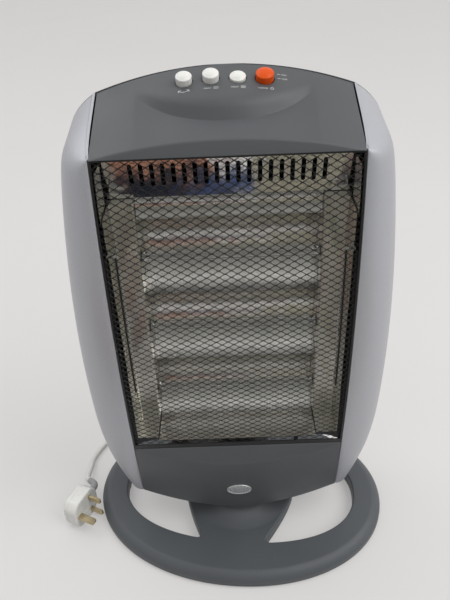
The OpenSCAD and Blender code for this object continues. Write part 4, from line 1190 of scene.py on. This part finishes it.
VENTS = ((400, 9), (120, 6))  # height of the lowest slot, and how many stand above each other
VENT_STEP, VENT_H, VENT_W, VENT_X = 11, 5, 48, 28


def on_rear(x, z, y=0.0):
    """A matrix at a screw's place whose Z runs to the rear."""
    return Matrix.Translation((x, y, z)) @ turned_x(-90)


def rear_cover():
    """The domed shell with its hollow, its vents and the bosses of its screws."""
    zs = [46.0, 46.5, 47.5, 49.5] + span(54, 456, 50) + span(462, 519, 22) + span(521, 536, 14)
    zs += [537.2, 538.2, 539.0, 539.5]
    rows = [rear_row(z, 0.0, SEAM_Y) for z in zs]
    for i, inset in enumerate((1.6, 0.8, 0.25)):  # the lower edge is rounded
        rows[i] = [(x * (1 - inset / 130), y if y <= SEAM_Y + 0.01 else y - inset, z) for x, y, z in rows[i]]
    shell = solid("rear_cover", loft(rows))
    slots = []
    for low, count in VENTS:
        for k in range(count):
            z = low + VENT_STEP * k
            for s in (-1, 1):
                x = s * VENT_X - VENT_W / 2
                slots.append(prism(slot_outline(x, x + VENT_W, z, z + VENT_H), 45, 85))
    hollow = solid("hollow", loft([rear_row(z, WALL, SEAM_Y - 10) for z in zs]))
    carved(shell, [hollow, solid("vents", joined(slots))])
    bosses, holes = [], []
    for x, z in SCREW_SPOTS:
        tip = rear_y(z) - 1
        bosses.append(moved(lathe([(0, SEAM_Y), (5, SEAM_Y), (5, tip), (0, tip)], 32), on_rear(x, z)))
        holes.append(moved(lathe([(0, 30), (2.1, 30), (2.1, 90), (0, 90)], 24), on_rear(x, z)))
    carved(shell, [solid("bosses", joined(bosses))], "UNION")
    return carved(shell, [solid("boss_holes", joined(holes))])


class HEATER_OT_rear_shell(bpy.types.Operator):
    """Form the rear shell with its vents and screw bosses, and drive its screws"""
    bl_idname = "heater.rear_shell"
    bl_label = "Rear shell"

    def execute(self, context):
        placed(rear_cover(), "head", dark_plastic(), ["rear_shell"], 30, weighted=True)

        # a black plate stands behind the upper vents as painted shade, so that no light shows through them and they
        # look dark inside
        rows = [[(x, rear_y(z) - WALL - 6.0, z) for x in span(-62, 62, 8)] for z in span(392, 500, 12)]
        placed(thickened(solid("vent_shade_plate", band(rows)), 1.0), "head", black_paint(), (), 40)

        screws = [cross_screw(3.5, 1.8, 1.8, rear_y(z) + 0.2 - (SEAM_Y - 3), on_rear(x, z, rear_y(z) + 0.2))
                  for x, z in SCREW_SPOTS]
        placed(gathered("rear_cross_screws", screws), "head", bright_steel(), ["rear_screws"], 35)

        spots = ring_spots(0.88, 0.84, (35, 145, 215, 325)) + [(0, -2 * BASE_DEEP * 0.4), (-20, 2 * BASE_DEEP * 0.4)]
        screws = [cross_screw(3.5, 1.6, 1.8, 9.4, Matrix.Translation(from_base((x, y, 2.0))) @ turned_x(180))
                  for x, y in spots]
        placed(gathered("base_cross_screws", screws), "base", bright_steel(), ["base_screws"], 35)
        return {"FINISHED"}


# ---- Grille
NET_HALF, NET_TILT = 114.9, 0.25
EDGE = PANEL_HALF - 0.3
CHANNEL_X, CHANNEL_TOP = 104, 398


def expanded_net(cols, rows, strand):
    """The net as one sheet: a diamond hole in each cell, with the strands twisted out of the sheet by NET_TILT."""
    half, low, high = NET_HALF, NET_LOW - 1.0, NET_HIGH + 0.3
    dx, dz = 2 * half / cols, (high - low) / rows
    hole_x = dx / 2 - strand / 2 * math.hypot(dx, dz) / dz
    hole_z = dz / 2 - strand / 2 * math.hypot(dx, dz) / dx
    # a knuckle of the net is a little wider than its strands
    point_x, mid_x, mid_z, t = hole_x * 0.94, hole_x * 0.52, hole_z * 0.54, NET_TILT
    ring = ((point_x, 0.0, 0.0), (mid_x, mid_z, t), (0.0, hole_z, t), (-mid_x, mid_z, t),
            (-point_x, 0.0, 0.0), (-mid_x, -mid_z, -t), (0.0, -hole_z, -t), (mid_x, -mid_z, -t))
    edge = ((dx / 2, 0), (dx / 4, dz / 4), (0, dz / 2), (-dx / 4, dz / 4),
            (-dx / 2, 0), (-dx / 4, -dz / 4), (0, -dz / 2), (dx / 4, -dz / 4))
    verts, faces, known = [], [], {}

    def corner(x, z, shift=0.0):
        x, z = max(-half, min(half, x)), max(low, min(high, z))
        key = (round(x, 3), round(z, 3), round(shift, 2))
        if key not in known:
            known[key] = len(verts)
            verts.append((x * MM, (front_y(z) + 2.1 + shift) * MM, z * MM))
        return known[key]
    for j in range(2 * rows + 1):
        for i in range((j + 1) % 2, 2 * cols + 1, 2):
            x, z = -half + dx * i / 2, low + dz * j / 2
            around = [corner(x + a, z + b) for a, b in edge]
            inner = [corner(x + a, z + b, c) for a, b, c in ring]
            for k in range(8):
                face = dict.fromkeys((around[k], around[(k + 1) % 8], inner[(k + 1) % 8], inner[k]))
                if len(face) >= 3:
                    faces.append(tuple(face))
    mesh = bpy.data.meshes.new("expanded_net")
    mesh.from_pydata(verts, [], faces)
    bm = bmesh.new()
    bm.from_mesh(mesh)
    bmesh.ops.dissolve_degenerate(bm, edges=bm.edges, dist=1e-6)
    bmesh.ops.delete(bm, geom=[f for f in bm.faces if f.calc_area() < 1e-9], context="FACES_ONLY")
    bmesh.ops.recalc_face_normals(bm, faces=bm.faces)
    bm.to_mesh(mesh)
    bm.free()
    net = bpy.data.objects.new("expanded_net", mesh)
    bpy.context.scene.collection.objects.link(net)
    return thickened(net, 0.5)


def rim_bar(z0, z1, x0, x1, steps, face, back):
    """A bar of the frame that follows the grille's front, from face to back behind it."""
    rows = []
    for z in span(z0, z1, steps):
        y = front_y(z)
        section = [(x0, y + face), (x1, y + face), (x1, y + back), (x0, y + back)]
        rows.append([(a, b, z) for a, b in eased(section, [0.35] * 4, 3)])
    return loft(rows)


class HEATER_OT_grille(bpy.types.Operator):
    """Weave the expanded steel net of the grille and fold its black frame"""
    bl_idname = "heater.grille"
    bl_label = "Grille"

    def execute(self, context):
        sizes = context.scene.heater_sizes
        net = expanded_net(sizes.net_cols, sizes.net_rows, sizes.strand / MM)
        placed(net, "head", black_paint(), ["grille_net"], 40)

        # the frame: a strip folded round the net's edge, deep at the bottom and thin up the sides
        bars = [rim_bar(GRILLE_LOW, GRILLE_HIGH, s * (EDGE - 0.75) - 0.75, s * (EDGE - 0.75) + 0.75, 60, 0.6, 4.0)
                for s in (-1, 1)]
        bars.append(rim_bar(GRILLE_LOW + 0.02, 153.3, -EDGE + 0.2, EDGE - 0.2, 8, 0.45, 1.5))
        bars.append(rim_bar(GRILLE_HIGH - 1.1, GRILLE_HIGH - 0.02, -EDGE + 0.2, EDGE - 0.2, 4, 0.9, 3.9))
        bars += [rim_bar(GRILLE_LOW + 1, CHANNEL_TOP, s * (EDGE - 2.5) - 1.2, s * (EDGE - 2.5) + 1.2, 50, 3.0, 3.95)
                 for s in (-1, 1)]
        bars += [rim_bar(GRILLE_LOW + 90, CHANNEL_TOP, s * CHANNEL_X - 0.9, s * CHANNEL_X + 0.9, 40, 3.3, 5.2)
                 for s in (-1, 1)]
        placed(solid("grille_rim", joined(bars)), "head", black_paint(), ["grille_frame"], 40)
        caps = [rim_bar(397.0, 400.4, *sorted((s * 103, s * 112.4)), 3, 3.4, 6.4) for s in (-1, 1)]
        placed(solid("channel_caps", joined(caps)), "head", bright_steel(), (), 40)
        return {"FINISHED"}


# ---- Reflectors and lamps
SHEET = 0.6  # thickness of the bright sheets
PLATE_DEEP, PLATE_LEAN, PLATE_SLOTS, SLOT_STEP = 56, 12, 19, 9.7
SIDE_LOW, SIDE_HIGH = 159.4, 433.0
COIL_LOOPS, LOOP_STEPS = 74, 10


def ripple(a, b, seed=0.0):
    """A slight unevenness of thin bright sheet, in millimetres."""
    return (0.10 * math.sin(a * 0.071 + seed) * math.sin(b * 0.058 + 1.3 * seed)
            + 0.05 * math.sin(a * 0.19 + b * 0.11 + 2 * seed) + 0.025 * math.sin(a * 0.43 - b * 0.23 + seed))


def trough_profile():
    """(y, z) points down the reflector sheet: flat top strip, three troughs, and the lip to the grille."""
    r = ((TROUGH_PITCH / 2) ** 2 + TROUGH_DEPTH ** 2) / (2 * TROUGH_DEPTH)
    a = math.asin(TROUGH_PITCH / 2 / r)
    low = LAMP_ZS[0] + TROUGH_PITCH / 2 + 0.8
    points = [(TROUGH_Y + 3.2 * math.sin(math.pi * (FOLD_Z - z) / (FOLD_Z - low)), z) for z in span(FOLD_Z, low, 16)]
    for zc in LAMP_ZS:
        for k in range(41):
            t = a - 2 * a * k / 40
            points.append((TROUGH_Y + TROUGH_DEPTH - r + r * math.cos(t), zc + r * math.sin(t)))
    lip = front_y(154.5) + 5
    low = LAMP_ZS[2] - TROUGH_PITCH / 2
    points += [(mix(TROUGH_Y + 0.6, lip, k / 8), mix(low - 0.2, 155.3, k / 8)) for k in range(1, 9)]
    return points


def trough_reflector():
    profile = trough_profile()
    rows = [[(x, y + 1.6 * ripple(x, z), z) for y, z in profile] for x in span(-REFLECTOR_HALF, REFLECTOR_HALF, 72)]
    return thickened(solid("trough_reflector", band(rows)), SHEET, 1.0)


def slotted_plate():
    """The plate above the troughs. It is slotted while it lies flat, and then stood up on the fold."""
    rows = [[(x, y, ripple(x, y, 0.7) * min(1, y / 12)) for y in span(0, PLATE_DEEP, 28)]
            for x in span(-PLATE_HALF, PLATE_HALF, 100)]
    plate = thickened(solid("slotted_plate", band(rows)), 0.8)
    slots = []
    for k in range(PLATE_SLOTS):
        x = (k - PLATE_SLOTS // 2) * SLOT_STEP
        slots.append(prism([(b, a) for a, b in slot_outline(12.8, 36.6, x - 2, x + 2)], -3, 4, "Z"))
    carved(plate, [solid("slots", joined(slots))])
    fold = Vector((0, TROUGH_Y + 1.2, FOLD_Z + 0.3))
    plate.data.transform(Matrix.Translation(fold * MM) @ turned_x(90 + PLATE_LEAN))
    return plate


def side_reflector(name, s):
    """The sheet at one end of the troughs: it covers the lamps' ends and turns out to the side wall."""
    back_y, front_edge, wall_x = TROUGH_Y + TROUGH_DEPTH + 2, front_y(322) + 12.5, PANEL_HALF - 5.1
    fold = eased([(REFLECTOR_HALF + 0.6, back_y), (REFLECTOR_HALF + 0.6, COVER_Y), (wall_x, COVER_Y - 2.8),
                  (wall_x, front_edge)], [0, 2.0, 3.5, 0], 6, closed=False)
    line = []
    for (x0, y0), (x1, y1) in zip(fold, fold[1:]):
        steps = max(1, round(math.hypot(x1 - x0, y1 - y0) / 2.5))
        line += [(mix(x0, x1, k / steps), mix(y0, y1, k / steps)) for k in range(steps)]
    line.append(fold[-1])
    wall = [[(s * (x + ripple(z, y, 1.9) * 2), y + ripple(x * 1.3, z, 0.4) * 4, z) for x, y in line]
            for z in span(SIDE_LOW, SIDE_HIGH, 80)]

    upper, lid = [], []
    for z in span(430.0, 475.0, 14):
        ys = span(-14.2, front_edge + 0.8 + max(0, z - 445) * 0.19, 10)
        upper.append([(s * (wall_x + 1.6 + ripple(z, y, 1.9)), y, z) for y in ys])
    for k in range(4):
        lid.append([(s * x, mix(COVER_Y - 2.8 * (x - REFLECTOR_HALF) / 23, TROUGH_Y + 0.7, k / 3),
                     SIDE_HIGH + 1.2 * k / 3) for x in span(REFLECTOR_HALF + 0.6, wall_x + 1.6, 8)])
    floor = [[(s * x, y, SIDE_LOW) for x in span(REFLECTOR_HALF + 0.8, wall_x, 8)]
             for y in span(COVER_Y, front_edge, 10)]
    side = thickened(solid(name, joined([band(wall), band(upper), band(floor), band(lid)])), SHEET)
    hole = lathe([(0, 60), (LAMP_HOLE_R, 60), (LAMP_HOLE_R, 90), (0, 90)], 40)
    holes = [moved(hole, Matrix.Translation((0, LAMP_Y, z)) @ turned_y(s * 90)) for z in LAMP_ZS]
    return carved(side, [solid("lamp_holes", joined(holes))])


class HEATER_OT_reflectors(bpy.types.Operator):
    """Form the bright troughs, the slotted plate above them and the two side sheets"""
    bl_idname = "heater.reflectors"
    bl_label = "Reflectors"

    def execute(self, context):
        placed(trough_reflector(), "head", trough_sheet(), ["reflector"], 50)
        placed(slotted_plate(), "head", mirror_sheet(), ["top_deflector"], 50)
        for s, name, old in ((-1, "left_bright_side", "left_side_reflector"),
                             (1, "right_bright_side", "right_side_reflector")):
            placed(side_reflector(name, s), "head", side_sheet(), [old], 50)
        return {"FINISHED"}


def tube_ring(x, z, ry, rz, steps=40):
    """A ring round a lamp's axis."""
    turns = [2 * math.pi * j / steps for j in range(steps)]
    return [(x, LAMP_Y + ry * math.cos(a), z + rz * math.sin(a)) for a in turns]


def quartz_tube(name, z):
    """A tube and its bore, both pinched flat towards the ends."""
    outer, inner = [], []
    for x in span(-92, 92, 92):
        pinch = max(0.0, min(1.0, (abs(x) - 80) / 7))
        pinch = pinch * pinch * (3 - 2 * pinch)
        outer.append(tube_ring(x, z, mix(5.0, 1.6, pinch), mix(5.0, 4.6, pinch)))
        if abs(x) < 84:
            inner.append(tube_ring(x, z, mix(4.1, 0.9, pinch), mix(4.1, 3.8, pinch)))
    skin, bore = solid("skin", loft(outer)), solid("bore", loft(inner))
    bore.data.flip_normals()  # the inside surface faces the bore
    return gathered(name, [skin, bore])


def lamp_coil(z):
    """A lamp's coiled wire, its leads, and the open rings that hold it in the tube."""
    helix = []
    for k in range(COIL_LOOPS * LOOP_STEPS + 1):
        a = 2 * math.pi * k / LOOP_STEPS
        x = -82 + 164 * k / (COIL_LOOPS * LOOP_STEPS)
        helix.append((x, LAMP_Y + 1.25 * math.cos(a), z + 1.25 * math.sin(a)))
    wires = [swept(helix, [0.22] * len(helix), 5, up=(0.1, 0.2, 1))]
    for s in (-1, 1):
        lead = [(s * 81.5, LAMP_Y + 0.9, z), (s * 84, LAMP_Y, z), (s * 94, LAMP_Y, z)]
        wires.append(swept(lead, [0.4] * len(lead), 8))
    for x in span(-66, 66, 6):
        support = [(x, LAMP_Y + 3.9 * math.cos(a), z + 3.9 * math.sin(a)) for a in span(0, 5.6, 20)]
        wires.append(swept(support, [0.14] * len(support), 5, up=(1, 0, 0)))
    return wires


def lamp_ends(z):
    """A lamp's two square ceramic ends, with a groove round them and a round stud."""
    square = eased([(-5.6, -5.6), (5.6, -5.6), (5.6, 5.6), (-5.6, 5.6)], [2.2] * 4, 5)
    stations = ((92.0, 0.80), (92.3, 0.9), (93.0, 1.0), (99.0, 1.0), (99.3, 0.93), (100.7, 0.93), (101.0, 1.0),
                (110.4, 1.0), (111.2, 0.94), (111.5, 0.8))
    stud = lathe([(0, 110), (2, 110), (2, 115.8), (1.7, 116), (0, 116)], 24)
    ends = []
    for s in (-1, 1):
        ends.append(loft([[(s * x, LAMP_Y + a * k, z + b * k) for a, b in square] for x, k in stations]))
        ends.append(moved(stud, Matrix.Translation((0, LAMP_Y, z)) @ turned_y(s * 90)))
    return ends


class HEATER_OT_lamps(bpy.types.Operator):
    """Draw the quartz tubes with pinched ends, their coiled wires and ceramic ends"""
    bl_idname = "heater.lamps"
    bl_label = "Lamps"

    def execute(self, context):
        wires, ends = [], []
        for name, z in zip(("upper", "middle", "lower"), LAMP_ZS):
            placed(quartz_tube(f"{name}_quartz_tube", z), "head", quartz(), [f"{name}_lamp_tube"], 40)
            wires += lamp_coil(z)
            ends += lamp_ends(z)
        placed(solid("lamp_coils", joined(wires), 0.0001), "head", lamp_wire(), ["lamp_filaments"], 60)
        placed(solid("lamp_ceramic_ends", joined(ends)), "head", ceramic(), ["lamp_end_caps"], 40)
        return {"FINISHED"}


# ---- Controls
CAP_EDGE, CAP_WALL, CAP_DOME = 1.15, 5.0, 1.75  # roll of a cap's edge, height of its side, rise of its dome
SWING_MARK_Y, HEAT_MARK_Y, POWER_MARK_Y = 15.6, 15.4, 14.8
INK = 0.06  # how far the print stands off the deck


def cap_profile(r):
    """A cap on its stem; the cap's edge rolls over into a shallow dome."""
    profile = [(0, -17), (2.6, -17), (3.0, -16.6), (3.0, -1.5), (r - 0.6, -1.5), (r, -1.0), (r, CAP_WALL)]
    for a in range(10, 91, 10):
        t = math.radians(a)
        profile.append((r - CAP_EDGE * (1 - math.cos(t)), CAP_WALL + CAP_EDGE * math.sin(t)))
    first, *others = span(0.95, 0.0, 10)
    profile.append(((r - CAP_EDGE) * first, 6.32))
    return profile + [((r - CAP_EDGE) * k, 6.15 + CAP_DOME * (1 - k ** 2) ** 0.9) for k in others]


class HEATER_OT_buttons(bpy.types.Operator):
    """Mould the three white buttons and the orange power button on their stems"""
    bl_idname = "heater.buttons"
    bl_label = "Buttons"

    def execute(self, context):
        rows = (("swing_button", "swing_cap"), ("heat_button_one", "heat_cap_one"),
                ("heat_button_two", "heat_cap_two"), ("power_button", "power_cap"))
        for i, (old, name) in enumerate(rows):
            at = on_deck(BUTTON_XS[i]) @ Matrix.Translation((0, 0, -BUTTON_TRAVEL if i == PRESSED else 0.0))
            cap = solid(name, moved(lathe(cap_profile(button_r(i)), 72), at))
            if i == POWER:
                placed(cap, old, orange_plastic(), [old], 40)
            else:
                placed(cap, old, white_plastic(), [old], 40)
        return {"FINISHED"}


def stroke(points, width):
    """A flat printed line through points on the deck, in the deck's own plane."""
    left, right = [], []
    for i, p in enumerate(points):
        a, b = Vector(points[max(i - 1, 0)]), Vector(points[min(i + 1, len(points) - 1)])
        d = (b - a).normalized()
        left.append((p[0] - d.y * width / 2, p[1] + d.x * width / 2, 0))
        right.append((p[0] + d.y * width / 2, p[1] - d.x * width / 2, 0))
    return band([left, right])


def arc_points(cx, cy, r, a0, a1):
    return [(cx + r * math.cos(math.radians(a)), cy + r * math.sin(math.radians(a))) for a in span(a0, a1, 24)]


def lettering(text, size):
    """Plain lettering as (verts, faces) in millimetres, from the origin along X."""
    curve = bpy.data.curves.new("letters", "FONT")
    curve.body, curve.size, curve.resolution_u = text, size * MM, 3
    obj = bpy.data.objects.new("letters", curve)
    bpy.context.scene.collection.objects.link(obj)
    bpy.context.view_layer.update()
    mesh = bpy.data.meshes.new_from_object(obj.evaluated_get(bpy.context.evaluated_depsgraph_get()))
    part = [tuple(v.co / MM) for v in mesh.vertices], [tuple(p.vertices) for p in mesh.polygons]
    bpy.data.objects.remove(obj)
    bpy.data.curves.remove(curve)
    bpy.data.meshes.remove(mesh)
    return part


def printed(part, x, y):
    """A flat mark laid on the deck with its origin at x, y."""
    tilt = math.cos(math.atan(DECK_SLOPE))
    points = [(x + p[0], y + p[1] * tilt) for p in part[0]]
    return [(a, b, deck_z(a, b) + INK) for a, b in points], part[1]


def swing_mark():
    """An arc with an arrow head at each end."""
    strokes = [stroke(arc_points(0, 3.4, 5.4, 215, 325), 0.55)]
    for s in (-1, 1):
        strokes.append(stroke([(s * 2.6, 1.0), (s * 4.9, 0.0)], 0.5))
        strokes.append(stroke([(s * 4.7, -2.0), (s * 4.6, 0.4)], 0.5))
    return strokes


def heat_mark(bar_ys):
    """A box with bars in it."""
    x, half, tall = 4.4, 1.9, 1.3
    corners = [(x - half, -tall), (x + half, -tall), (x + half, tall), (x - half, tall), (x - half, -tall)]
    return [stroke(corners, 0.38)] + [stroke([(x - 1.3, y), (x + 1.3, y)], 0.42) for y in bar_ys]


class HEATER_OT_print_marks(bpy.types.Operator):
    """Print the plain white marks on the button deck"""
    bl_idname = "heater.print_marks"
    bl_label = "Print marks"

    def execute(self, context):
        swing_x, one_x, two_x, power_x = BUTTON_XS
        marks = [printed(part, swing_x, SWING_MARK_Y) for part in swing_mark()]
        for x, bar_ys in ((one_x, (0.0,)), (two_x, (-0.45, 0.45))):
            marks.append(printed(lettering("HEAT", 2.7), x - 6.2, HEAT_MARK_Y - 1.0))
            marks += [printed(part, x, HEAT_MARK_Y) for part in heat_mark(bar_ys)]
        marks.append(printed(lettering("POWER", 2.5), power_x - 6.6, POWER_MARK_Y - 1.0))
        for line in (arc_points(5.6, 0, 1.35, 115, 425), [(5.6, 0.3), (5.6, 1.9)]):
            marks.append(printed(stroke(line, 0.45), power_x, POWER_MARK_Y))
        for word, y in (("ON", 32.4), ("OFF", 27.2)):
            marks.append(printed(stroke([(0, 1.05), (2.6, 1.05)], 0.5), 46.6, y))
            marks.append(printed(lettering(word, 2.9), 50.2, y))
        placed(solid("deck_print", joined(marks), 0.00001), "head", print_ink(), (), 60)
        return {"FINISHED"}


# ---- Wires inside
LOOM_ROUTE = ((72, 14, 63.5), (72, 14, 80), (80, 30, 100), (96, 48, 130), (98, 52, 200), (98, 52, 300), (98, 50, 400),
              (84, 40, 450), (50, 30, 480), (30, 26, 500))
SLEEVED_ROUTE = ((0, 0, 80.0), (4, 2, 96), (24, -6, 104), (50, 0, 90), (60, 12, 76), (60, 14, 63.5))
LEAD_ROUTE = ((EXIT_X, LEAD_IN_Y, EXIT_Z), (EXIT_X, EXIT_Y - 30, EXIT_Z), (EXIT_X, EXIT_Y - 44, EXIT_Z), (28, 62, 9),
              (12, 32, 9), (2, 14, 9.5), (0, 3, 12), (0, 0, 20), (0, 0, 30), (0, 0, 50), (0, 0, 78))


def loom_strands():
    """Three strands twisted round the loom's route."""
    path, strands = chaikin(LOOM_ROUTE, 3), []
    for k in range(3):
        line = []
        for i, p in enumerate(path):
            t = (path[min(i + 1, len(path) - 1)] - path[max(i - 1, 0)]).normalized()
            side = t.cross(Vector((0, 1, 0.01))).normalized()
            a = 2 * math.pi * (k / 3 + i / 42)
            line.append(p + 1.45 * (math.cos(a) * side + math.sin(a) * side.cross(t)))
        strands.append(swept(line, [1.3] * len(line), 10, up=(0, 1, 0.01)))
    return solid("loom_wires", joined(strands))


class HEATER_OT_wires(bpy.types.Operator):
    """Run the wires inside the base and the head"""
    bl_idname = "heater.wires"
    bl_label = "Wires"

    def execute(self, context):
        placed(loom_strands(), "head", black_cable(), ["wiring_loom"], 50)
        route = chaikin(SLEEVED_ROUTE, 3)
        sleeved = solid("sleeved_wire", swept(route, [2.45] * len(route), 20, up=(0.2, 1, 0.1)))
        placed(sleeved, "head", cable_vinyl(), ["wire_tube"], 50)
        route = chaikin([from_base(p) for p in LEAD_ROUTE], 3)
        lead = solid("lead_in_post", swept(route, [INNER_R - 0.05] * len(route), 20, up=(1, 0.3, 0)))
        placed(lead, "base", black_cable(), ["inner_lead"], 50)
        return {"FINISHED"}


class HEATER_OT_inner_parts(bpy.types.Operator):
    """Give the parts that stay from the frame their finishes"""
    bl_idname = "heater.inner_parts"
    bl_label = "Inner parts"

    def execute(self, context):
        finishes = {
            "base_floor_plate": black_plastic, "pivot_post": zinc_steel, "thrust_washer": nylon,
            "retaining_clip": bright_steel, "gear_sector": nylon, "chassis_floor": zinc_steel, "pivot_bush": nylon,
            "swing_motor": zinc_steel, "motor_bracket": zinc_steel, "motor_pinion": nylon,
            "left_lamp_bracket": zinc_steel, "right_lamp_bracket": zinc_steel, "heat_shield": zinc_steel,
            "thermal_cutout": black_plastic, "switch_block": black_plastic, "tilt_switch": nylon, "tilt_weight": brass,
            "terminal_block": nylon, "cord_clamp": black_plastic,
        }
        for name, made in finishes.items():
            obj = NODES[name]
            if not obj.material_slots:
                raise RuntimeError(f"{name} has no material slot")
            for place in obj.material_slots:
                place.material = made()
        bare = [n for n, obj in NODES.items() if not obj.hide_render and n not in finishes]
        if bare:
            raise RuntimeError(f"these nodes have no finish yet: {bare}")
        return {"FINISHED"}


# ---- Settings
class HeaterSizes(bpy.types.PropertyGroup):
    """Sizes of the finished pieces that may be changed"""
    net_cols: IntProperty(name="Net columns", description="Diamonds of the net from side to side",
                          default=20, min=8, max=40)
    net_rows: IntProperty(name="Net rows", description="Diamonds of the net from bottom to top",
                          default=48, min=16, max=90)
    strand: FloatProperty(name="Net strand", description="Width of one strand of the net",
                          default=0.00075, min=0.0005, max=0.003, unit="LENGTH", precision=5)


class HeaterColours(bpy.types.PropertyGroup):
    """Colours of the finished pieces that may be changed"""
    dark: FloatVectorProperty(name="Panels", description="Dark plastic of the head",
                              default=(0.085, 0.091, 0.099), subtype="COLOR", min=0, max=1)
    base: FloatVectorProperty(name="Base", description="Dark plastic of the base",
                              default=(0.083, 0.092, 0.102), subtype="COLOR", min=0, max=1)
    silver: FloatVectorProperty(name="Side panels", description="Silver paint of the side panels",
                                default=(0.465, 0.475, 0.515), subtype="COLOR", min=0, max=1)
    white: FloatVectorProperty(name="White parts", description="White buttons and plug",
                               default=(0.8, 0.8, 0.78), subtype="COLOR", min=0, max=1)
    orange: FloatVectorProperty(name="Power button", description="Orange power button",
                                default=(0.74, 0.088, 0.004), subtype="COLOR", min=0, max=1)
    floor: FloatVectorProperty(name="Floor", description="Pale floor and backdrop",
                               default=(0.72, 0.71, 0.705), subtype="COLOR", min=0, max=1)


PIECES = (HEATER_OT_stage, HEATER_OT_cord, HEATER_OT_base, HEATER_OT_side_panels, HEATER_OT_dark_panels,
          HEATER_OT_badge, HEATER_OT_rear_shell, HEATER_OT_grille, HEATER_OT_reflectors, HEATER_OT_lamps,
          HEATER_OT_buttons, HEATER_OT_print_marks, HEATER_OT_wires, HEATER_OT_inner_parts)


class HEATER_PT_pieces(bpy.types.Panel):
    """Lists the heater's pieces and settings"""
    bl_idname = "HEATER_PT_pieces"
    bl_label = "Halogen heater"
    bl_space_type = "VIEW_3D"
    bl_region_type = "UI"
    bl_category = "Heater"

    def draw(self, context):
        for group in (context.scene.heater_sizes, context.scene.heater_colours):
            box = self.layout.box()
            for name in group.bl_rna.properties.keys():
                if name not in ("rna_type", "name"):
                    box.prop(group, name)
        for piece in PIECES:
            self.layout.operator(piece.bl_idname)


CLASSES = (HeaterSizes, HeaterColours, *PIECES, HEATER_PT_pieces)


def register():
    for cls in CLASSES:
        bpy.utils.register_class(cls)
    bpy.types.Scene.heater_sizes = PointerProperty(type=HeaterSizes)
    bpy.types.Scene.heater_colours = PointerProperty(type=HeaterColours)


def unregister():
    del bpy.types.Scene.heater_colours
    del bpy.types.Scene.heater_sizes
    for cls in reversed(CLASSES):
        bpy.utils.unregister_class(cls)


def main():
    register()
    bpy.ops.heater.stage()
    bpy.ops.heater.cord()
    bpy.ops.heater.base()
    bpy.ops.heater.side_panels()
    bpy.ops.heater.dark_panels()
    bpy.ops.heater.badge()
    bpy.ops.heater.rear_shell()
    bpy.ops.heater.grille()
    bpy.ops.heater.reflectors()
    bpy.ops.heater.lamps()
    bpy.ops.heater.buttons()
    bpy.ops.heater.print_marks()
    bpy.ops.heater.wires()
    bpy.ops.heater.inner_parts()


if __name__ == "__main__":
    main()
